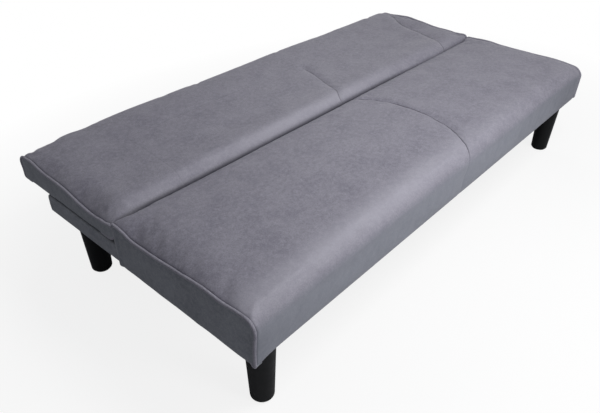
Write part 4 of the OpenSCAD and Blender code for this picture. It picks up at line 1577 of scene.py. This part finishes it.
@dataclass
class EndPanel:
    """The flat panel that closes an end, pillowed a little by its wadding, its lower edge turned under."""

    name: str
    side: int
    top: Array
    bottom: Array
    face_x: float
    pillow: float = 0.0022
    tuck: float = 0.0016
    hem: float = 0.018
    # How far the rear edge stands out, as a loose fold beside the crevice, and how wide that fold is
    fold: float = 0.0
    fold_width: float = 0.022
    fold_steepness: float = 1.5
    # Behind this place the hem is wider, as nothing passes through it there
    wide_from: float = 9.0
    wide_hem: float = 0.035
    # How wide its pillowed rim is, how far in it counts, and how wide the tuck beside its piping is
    rim_width: float = 0.022
    rim_most: float = 0.05
    tuck_width: float = 0.003
    # The rows of its hem, as the share of the hem's width, and how far each is set in and lifted
    hem_rows: tuple[tuple[float, float, float], ...] = (
        (1.0, 0.0, 0.0009),
        (0.5, 0.0, 0.0003),
        (0.0, 0.003, 0.0),
        (0.0, 0.0009, 0.0007),
    )
    hem_drop: float = 0.0012
    # The height and the size of the waves on its face
    rumples: tuple[tuple[float, float], ...] = ((0.0007, 0.060), (0.0004, 0.024))
    # Its rows and columns of points, and how far the columns crowd towards both ends
    points: tuple[int, int] = (26, 150)
    crowding: float = 0.55
    seed: int = 20

    def build(self) -> Object:
        """Makes the panel between its upper and its lower line.

        Returns:
            The new object.
        """
        rows, cols = self.points
        even = np.linspace(0, 1, cols)
        share = self.crowding * (1.0 - np.cos(math.pi * even)) / 2 + (1.0 - self.crowding) * even
        low_y, high_y = self.top[:, 0].min(), self.top[:, 0].max()
        y = low_y + share * (high_y - low_y)
        top_z = np.interp(y, self.top[:, 0], self.top[:, 1])
        low_z = np.interp(y, self.bottom[:, 0], self.bottom[:, 1])
        yy = np.broadcast_to(y[None, :], (rows, cols))
        zz = low_z[None, :] + np.linspace(0, 1, rows)[:, None] * (top_z - low_z)[None, :]
        rim = np.minimum(np.minimum(yy - low_y, high_y - yy), np.minimum(top_z[None, :] - zz, self.rim_most))
        swell = self.pillow * (1.0 - np.exp(-np.maximum(rim, 0.0) / self.rim_width))
        swell = swell - self.tuck * np.exp(-rim / self.tuck_width)
        swell = swell + layered(yy, zz, tuple((*w, self.seed + i) for i, w in enumerate(self.rumples)))
        steep = self.fold_steepness
        xx = self.face_x + swell + self.fold * ease(steep - steep * (high_y - yy) / self.fold_width)
        hem = self.hem + (self.wide_hem - self.hem) * rise(y, self.wide_from, over=0.012)
        hem_rows = [
            np.stack([xx[0] - width * hem - inset, y, low_z - self.hem_drop + lift], axis=-1)
            for width, inset, lift in self.hem_rows
        ]
        points = np.concatenate([np.stack(hem_rows), np.stack([xx, yy, zz], axis=-1)], axis=0)
        points[..., 0] *= self.side
        marks = {"seam": np.zeros(points.shape[:2])}
        return thicken(grid_object(self.name, points, flip=self.side < 0, marks=marks), PANEL_T)


@dataclass
class LowSkirt:
    """Padded fabric around the base's low boards behind the crevice, in one strip around three sides."""

    name: str = "low_skirt"
    corner_round: float = 0.010
    top_round: float = 0.007
    hem: float = 0.020
    inside: float = 0.010
    # How far its ends reach in under the seat's end panels
    under_seat: float = 0.010
    # Its inner edge turns each rear corner with this radius, and gives way to it over this length
    inner_round: float = 0.001
    gives_way: float = 0.060
    foot_round: float = 0.003
    # How far it is pillowed halfway up, and how far up and down that reaches
    pillow: float = 0.0012
    pillow_reach: float = 0.02
    waves: Layers = ((0.0012, 0.10, 41), (0.0006, 0.035, 42))
    waves_from: float = -1.3
    spacing: float = 0.008
    rows: int = 44

    def plan(self) -> Profile:
        """The strip's line seen from above, clockwise from the crevice's left end.

        Returns:
            The line, as (x, y).
        """
        low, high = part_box("rear_skirt")
        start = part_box("side_skirt_left")[0].y - self.under_seat
        r = self.corner_round
        left = arc(low.x + r, high.y - r, r, 180, 90, 8)
        right = arc(high.x - r, high.y - r, r, 90, 0, 8)
        return Profile(np.concatenate([[[low.x, start]], left, right, [[high.x, start]]]))

    def section(self) -> Profile:
        """The strip's cross section, from its hem up and over to its inner edge.

        Returns:
            The line, as distance outwards and height.
        """
        low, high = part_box("rear_skirt")
        width = high.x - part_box("side_skirt_right")[0].x
        foot = arc(-self.foot_round, low.z + self.foot_round, self.foot_round, 270, 360, 5)
        outer = arc(-self.top_round, high.z - self.top_round, self.top_round, 0, 90, 8)
        inner = arc(-width + self.top_round, high.z - self.top_round, self.top_round, 90, 180, 8)
        hem_start = [[-self.hem, low.z]]
        inner_end = [[-width, high.z - self.top_round - self.inside]]
        return Profile(np.concatenate([hem_start, foot, outer, inner, inner_end]))

    def around(self, plan: Profile, p: Array, out: Array) -> Array:
        """Places at a distance outwards from the plan, whose corners stay open on their inner side.

        Args:
            plan: the strip's line seen from above.
            p: the places along it.
            out: how far outwards of it each point lies.

        Returns:
            The points as (x, y).
        """
        low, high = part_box("rear_skirt")
        radius = self.corner_round
        turn = np.maximum(radius + out, self.inner_round)
        moved = turn - radius - out
        normal = plan.normals(p)
        core = plan.at(p) - normal * radius

        def near(distance: Array) -> Array:
            """1 at a corner, 0 where the strip has given way to it."""
            return np.clip(1.0 - distance / self.gives_way, 0.0, 1.0)

        core[..., 0] += moved * (near(core[..., 0] - low.x - radius) - near(high.x - radius - core[..., 0]))
        core[..., 1] -= moved * near(high.y - radius - core[..., 1])
        return core + normal * turn[..., None]

    def build(self) -> Object:
        """Makes the strip.

        Returns:
            The new object.
        """
        plan, section = self.plan(), self.section()
        p = np.linspace(0, plan.length, round(plan.length / self.spacing))
        pp, qq = np.meshgrid(p, np.linspace(0, section.length, self.rows))
        cut = section.at(qq)
        low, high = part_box("rear_skirt")
        upright = hump(cut[..., 1], (low.z + high.z) / 2, self.pillow_reach)
        out = cut[..., 0] + upright * (self.pillow + layered(pp + self.waves_from, qq, self.waves))
        points = np.concatenate([self.around(plan, pp, out), cut[..., 1:]], axis=-1)
        skirt = grid_object(self.name, points, flip=True, marks={"seam": np.zeros(pp.shape)})
        return thicken(skirt, FABRIC_T)


# ---- Sub-assemblies --------------------------------------------------------

def dress(obj: Object, material: Material) -> None:
    """Puts one material on an object in place of what it had."""
    obj.data.materials.clear()
    obj.data.materials.append(material)


def settle_piece(obj: Object, body: str, slot: str, material: Material, *nodes: str) -> None:
    """Dresses a new piece, makes it ride on its body, and lets it stand for its nodes.

    Args:
        obj: the new piece.
        body: the body that it rides on.
        slot: its slot; not used.
        material: its material.
        nodes: the nodes that it stands for.
    """
    dress(obj, material)
    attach(obj, body)
    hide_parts(*nodes)
    LOG.info("%s: %d points, rides on %s", obj.name, len(obj.data.vertices), body)


@dataclass
class Upholstery:
    """All the sewn pieces: the seat's and the back's cushions, their end panels and piping, and the skirt."""

    piping_inset: float = 0.0032
    panel_inset: float = 0.0050
    # How much of the seat's depth is left when the upright back presses against its rear edge
    pressed_depth: float = 0.973

    def __post_init__(self) -> None:
        """Makes the fabrics and lays out the two covers."""
        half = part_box("seat_cover")[1].x
        self.end_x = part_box("seat_piping_right")[1].x
        self.panel_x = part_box("seat_end_panel_right")[1].x
        self.suede = SUEDE.material()
        self.cord = PIPING_SUEDE.material()
        self.end_suede = END_SUEDE.material()
        self.seat = SeatCushion("seat_cushion_cover", half)
        self.back = BackCushion("back_cushion_cover", half)

    def build_cushion(self, cover: SewnCover, body: str, *nodes: str) -> Object:
        """Blows up a cover and builds it.

        Args:
            cover: the cover.
            body: the body that it rides on.
            nodes: the nodes that it stands for.

        Returns:
            The cover's object.
        """
        cover.inflate()
        cushion = cover.build()
        settle_piece(cushion, body, "fabric", self.suede, *nodes)
        return cushion

    def close_end(self, part: str, body: str, line: Array, panel: EndPanel) -> list[Object]:
        """Builds an end panel and the piping around it.

        Args:
            part: which cushion they belong to, "seat" or "back".
            body: the body that they ride on.
            line: the line of the piping's cord.
            panel: the end panel.

        Returns:
            The panel and the piping.
        """
        label = dict(SIDES)[panel.side]
        cover = panel.build()
        settle_piece(cover, body, "fabric", self.end_suede, f"{part}_end_panel_{label}")
        name = f"{part}_piping_cord_{label}"
        piping = Piping(name, panel.side, line, self.end_x, seed=30 + panel.seed).build()
        settle_piece(piping, body, "piping", self.cord, f"{part}_piping_{label}")
        return [cover, piping]

    def build_seat(self) -> None:
        """Builds the seat's cushion, end panels and piping."""
        cushion = self.build_cushion(self.seat, "base", "seat_cover", "seat_foam", "seat_wadding")
        self.press(cushion)
        seat, inset = self.seat, self.panel_inset
        level = seat.bottom - seat.panel_drop
        for side, label in SIDES:
            line = seat.end_line(side, self.piping_inset, seat.s_corner - seat.piping_tuck)
            over = seat.end_line(side, inset, seat.s_face, seat.s_crevice)
            corner = seat.end_line(side, inset, seat.s_edge)[0]
            foot = np.array([corner, [corner[0] + seat.panel_lift, level], [seat.rear, level]])
            name = f"seat_end_cover_{label}"
            panel = EndPanel(name, side, over, foot, self.panel_x, fold=seat.panel_fold, seed=20 + side)
            for piece in self.close_end("seat", "base", line, panel):
                self.press(piece)

    def press(self, piece: Object) -> None:
        """Gives a piece of the seat its own copy of its mesh."""
        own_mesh(piece)

    def build_back(self) -> None:
        """Builds the back's cushion, end panels and piping."""
        cushion = self.build_cushion(self.back, "back", "back_cover", "back_foam", "back_edge_foam")
        for side, label in SIDES:
            edge = self.back.end_line(side, self.panel_inset)
            first, last = int(np.argmin(edge[:, 0])), int(np.argmax(edge[:, 0]))
            over = edge[first : last + 1]
            under = np.concatenate([edge[: first + 1][::-1], edge[last:][::-1]])
            under = under[np.argsort(under[:, 0])]
            name, wide_from = f"back_end_cover_{label}", self.back.wide_hem_from
            panel = EndPanel(name, side, over, under, self.panel_x, wide_from=wide_from, seed=30 + side)
            self.close_end("back", "back", self.back.end_line(side, self.piping_inset), panel)

    def build_skirt(self) -> None:
        """Builds the skirt around the low boards."""
        nodes = ("rear_skirt", "side_skirt_left", "side_skirt_right")
        settle_piece(LowSkirt().build(), "base", "fabric", self.end_suede, *nodes)


@dataclass(frozen=True)
class Carcass:
    """The frame's own nodes that stay as they are: timber, springs, felt, linings, legs and hinges."""

    # Which nodes have each finish, by the start of their names; a longer start goes before a shorter one
    finishes: tuple[tuple[Finish, tuple[str, ...]], ...] = (
        (TIMBER_ALONG_X, ("front_rail", "seat_rear_rail", "base_rear_rail", "corner_blocks")),
        (TIMBER_ALONG_X, ("back_front_rail", "back_rear_rail")),
        (TIMBER_ALONG_Y, ("side_board", "base_stretchers", "back_end_rail", "back_stretchers")),
        (SPRING_WIRE, ("seat_spring", "back_spring", "pawl_spring")),
        (FELT, ("seat_felt", "back_felt")),
        (SPUNBOND, ("dust_cover", "back_lining")),
        (ZINC_PLATE, ("leg_plates", "leg_studs", "leg_nuts", "hinge_", "pivot_pins", "pawl_rivets")),
        (GLIDE_PLASTIC, ("leg_glides",)),
        (LEG_PLASTIC, ("leg_",)),
        (PAWL_STEEL, ("pawl_",)),
    )

    def dress(self) -> None:
        """Gives every node that still shows its finish."""
        by_start = {start: finish for finish, starts in self.finishes for start in starts}
        made = {finish: finish.material() for finish in dict.fromkeys(by_start.values())}
        for name, obj in sorted(frame["nodes"].items()):
            if obj.hide_render:
                continue
            start = max((s for s in by_start if name.startswith(s)), key=len, default=None)
            if start is None:
                LOG.warning("%s has no finish", name)
                continue
            dress(obj, made[by_start[start]])
            LOG.info("%s: %s", name, by_start[start].name)


@dataclass(frozen=True)
class Lamp:
    """A square soft box that shines at the middle of the sofa bed."""

    name: str
    watts: float
    place: tuple[float, float, float]
    size: float

    def build(self) -> None:
        """Makes the lamp."""
        data = bpy.data.lights.new(self.name, "AREA")
        data.energy = self.watts
        data.size = self.size
        lamp = add_object(self.name, data)
        lamp.location = self.place
        lamp.rotation_mode = "QUATERNION"
        lamp.rotation_quaternion = Vector(self.place).to_track_quat("Z", "Y")


@dataclass
class Studio:
    """A pale studio: soft key light from the front right, even sky, and a floor that keeps the shadow."""

    camera_place: tuple[float, float, float] = (-1.4336, -1.0672, 1.1995)
    camera_aim: tuple[float, float, float] = (-0.5407, -0.2823, 0.3500)
    camera_roll: float = 0.535
    lens_mm: float = 34.57
    sensor_mm: float = 36.0
    sky: float = 0.23
    lamps: tuple[Lamp, ...] = (
        Lamp("key", watts=16.5, place=(0.02, -0.95, 1.75), size=0.7),
        Lamp("fill", watts=22.0, place=(-0.10, -2.80, 1.30), size=0.9),
        Lamp("side", watts=3.5, place=(1.30, 1.00, 1.70), size=0.8),
    )
    floor_half: float = 14.0
    floor_paper: str = "#FFFFFF"
    # The paper as other light sees it: it throws less light back up than a white floor would
    floor_bounce: str = "#C8C8CC"
    floor_glow: float = 0.84
    # Between which distances the floor turns white, and how distances along X, Y and Z count for that
    shadow_reach: tuple[float, float] = (0.8, 1.5)
    shadow_stretch: tuple[float, float, float] = (0.72, 1.0, 0.0)

    def build(self) -> None:
        """Makes the camera, the lights, the sky and the floor."""
        self.make_camera()
        self.make_lights()
        self.make_floor()
        bpy.context.scene.view_settings.view_transform = "Standard"
        LOG.info("studio is set")

    def make_camera(self) -> None:
        """Sets the camera at the height of someone who stands at the sofa bed's left front corner."""
        data = bpy.data.cameras.new("camera")
        data.lens = self.lens_mm
        data.sensor_width = self.sensor_mm
        data.sensor_fit = "HORIZONTAL"
        data.clip_start, data.clip_end = 0.05, 60.0
        camera = add_object("camera", data)
        look = Vector(self.camera_aim) - Vector(self.camera_place)
        turn = look.to_track_quat("-Z", "Y").to_matrix().to_4x4()
        roll = Matrix.Rotation(math.radians(self.camera_roll), 4, "Z")
        camera.matrix_world = Matrix.Translation(self.camera_place) @ turn @ roll
        bpy.context.scene.camera = camera

    def make_lights(self) -> None:
        """Makes the lamps and the sky, which looks white and lights softly."""
        for lamp in self.lamps:
            lamp.build()
        world = bpy.data.worlds.new("sky")
        bpy.context.scene.world = world
        world.use_nodes = True
        tree = world.node_tree
        tree.nodes.clear()
        path = add_node(tree, "LightPath").node.outputs
        seen = add_node(tree, "Math", (path["Is Camera Ray"], path["Is Glossy Ray"]), operation="MAXIMUM")
        seen = add_node(tree, "Math", (seen, path["Is Transmission Ray"]), operation="MAXIMUM")
        lighting = add_node(tree, "Background", (srgb("#F4F6FB"), self.sky))
        white = add_node(tree, "Background", (srgb("#FFFFFF"), 1.0))
        both = add_node(tree, "MixShader", (seen, lighting, white))
        add_node(tree, "OutputWorld", {"Surface": both})

    def make_floor(self) -> None:
        """Makes the floor: near the object it takes the shadow, further out it looks as white as the sky."""
        steps = np.linspace(-self.floor_half, self.floor_half, 9)
        x, y = np.meshgrid(steps, steps)
        floor = grid_object("floor", np.stack([x, y, np.zeros(x.shape)], axis=-1))
        made, tree, shader = new_material("studio_paper")
        seen = add_node(tree, "LightPath", out="Is Camera Ray")
        paper = Tint(self.floor_paper, 0.0, 1.0).over(tree, srgb(self.floor_bounce), seen)
        connect(shader, {"Base Color": paper, "Roughness": 0.95, "Specular IOR Level": 0.0})
        place = add_node(tree, "TexCoord", out="Object")
        flat = add_node(tree, "Mapping", {"Vector": place, "Scale": self.shadow_stretch})
        away = add_node(tree, "VectorMath", (flat,), "Value", operation="LENGTH")
        far = add_node(tree, "MapRange", (away, *self.shadow_reach, self.floor_glow, 1.0))
        share = add_node(tree, "Math", (far, seen), operation="MULTIPLY")
        glow = add_node(tree, "Emission", (srgb("#FFFFFF"), 1.0))
        both = add_node(tree, "MixShader", (share, shader.outputs[0], glow))
        output = next(n for n in tree.nodes if n.type == "OUTPUT_MATERIAL")
        connect(output, {"Surface": both})
        dress(floor, made)


def main() -> None:
    """Builds and dresses everything in order."""
    logging.basicConfig(level=logging.INFO, format="%(name)s: %(message)s")
    Studio().build()
    upholstery = Upholstery()
    upholstery.build_seat()
    upholstery.build_back()
    upholstery.build_skirt()
    Carcass().dress()


if __name__ == "__main__":
    main()
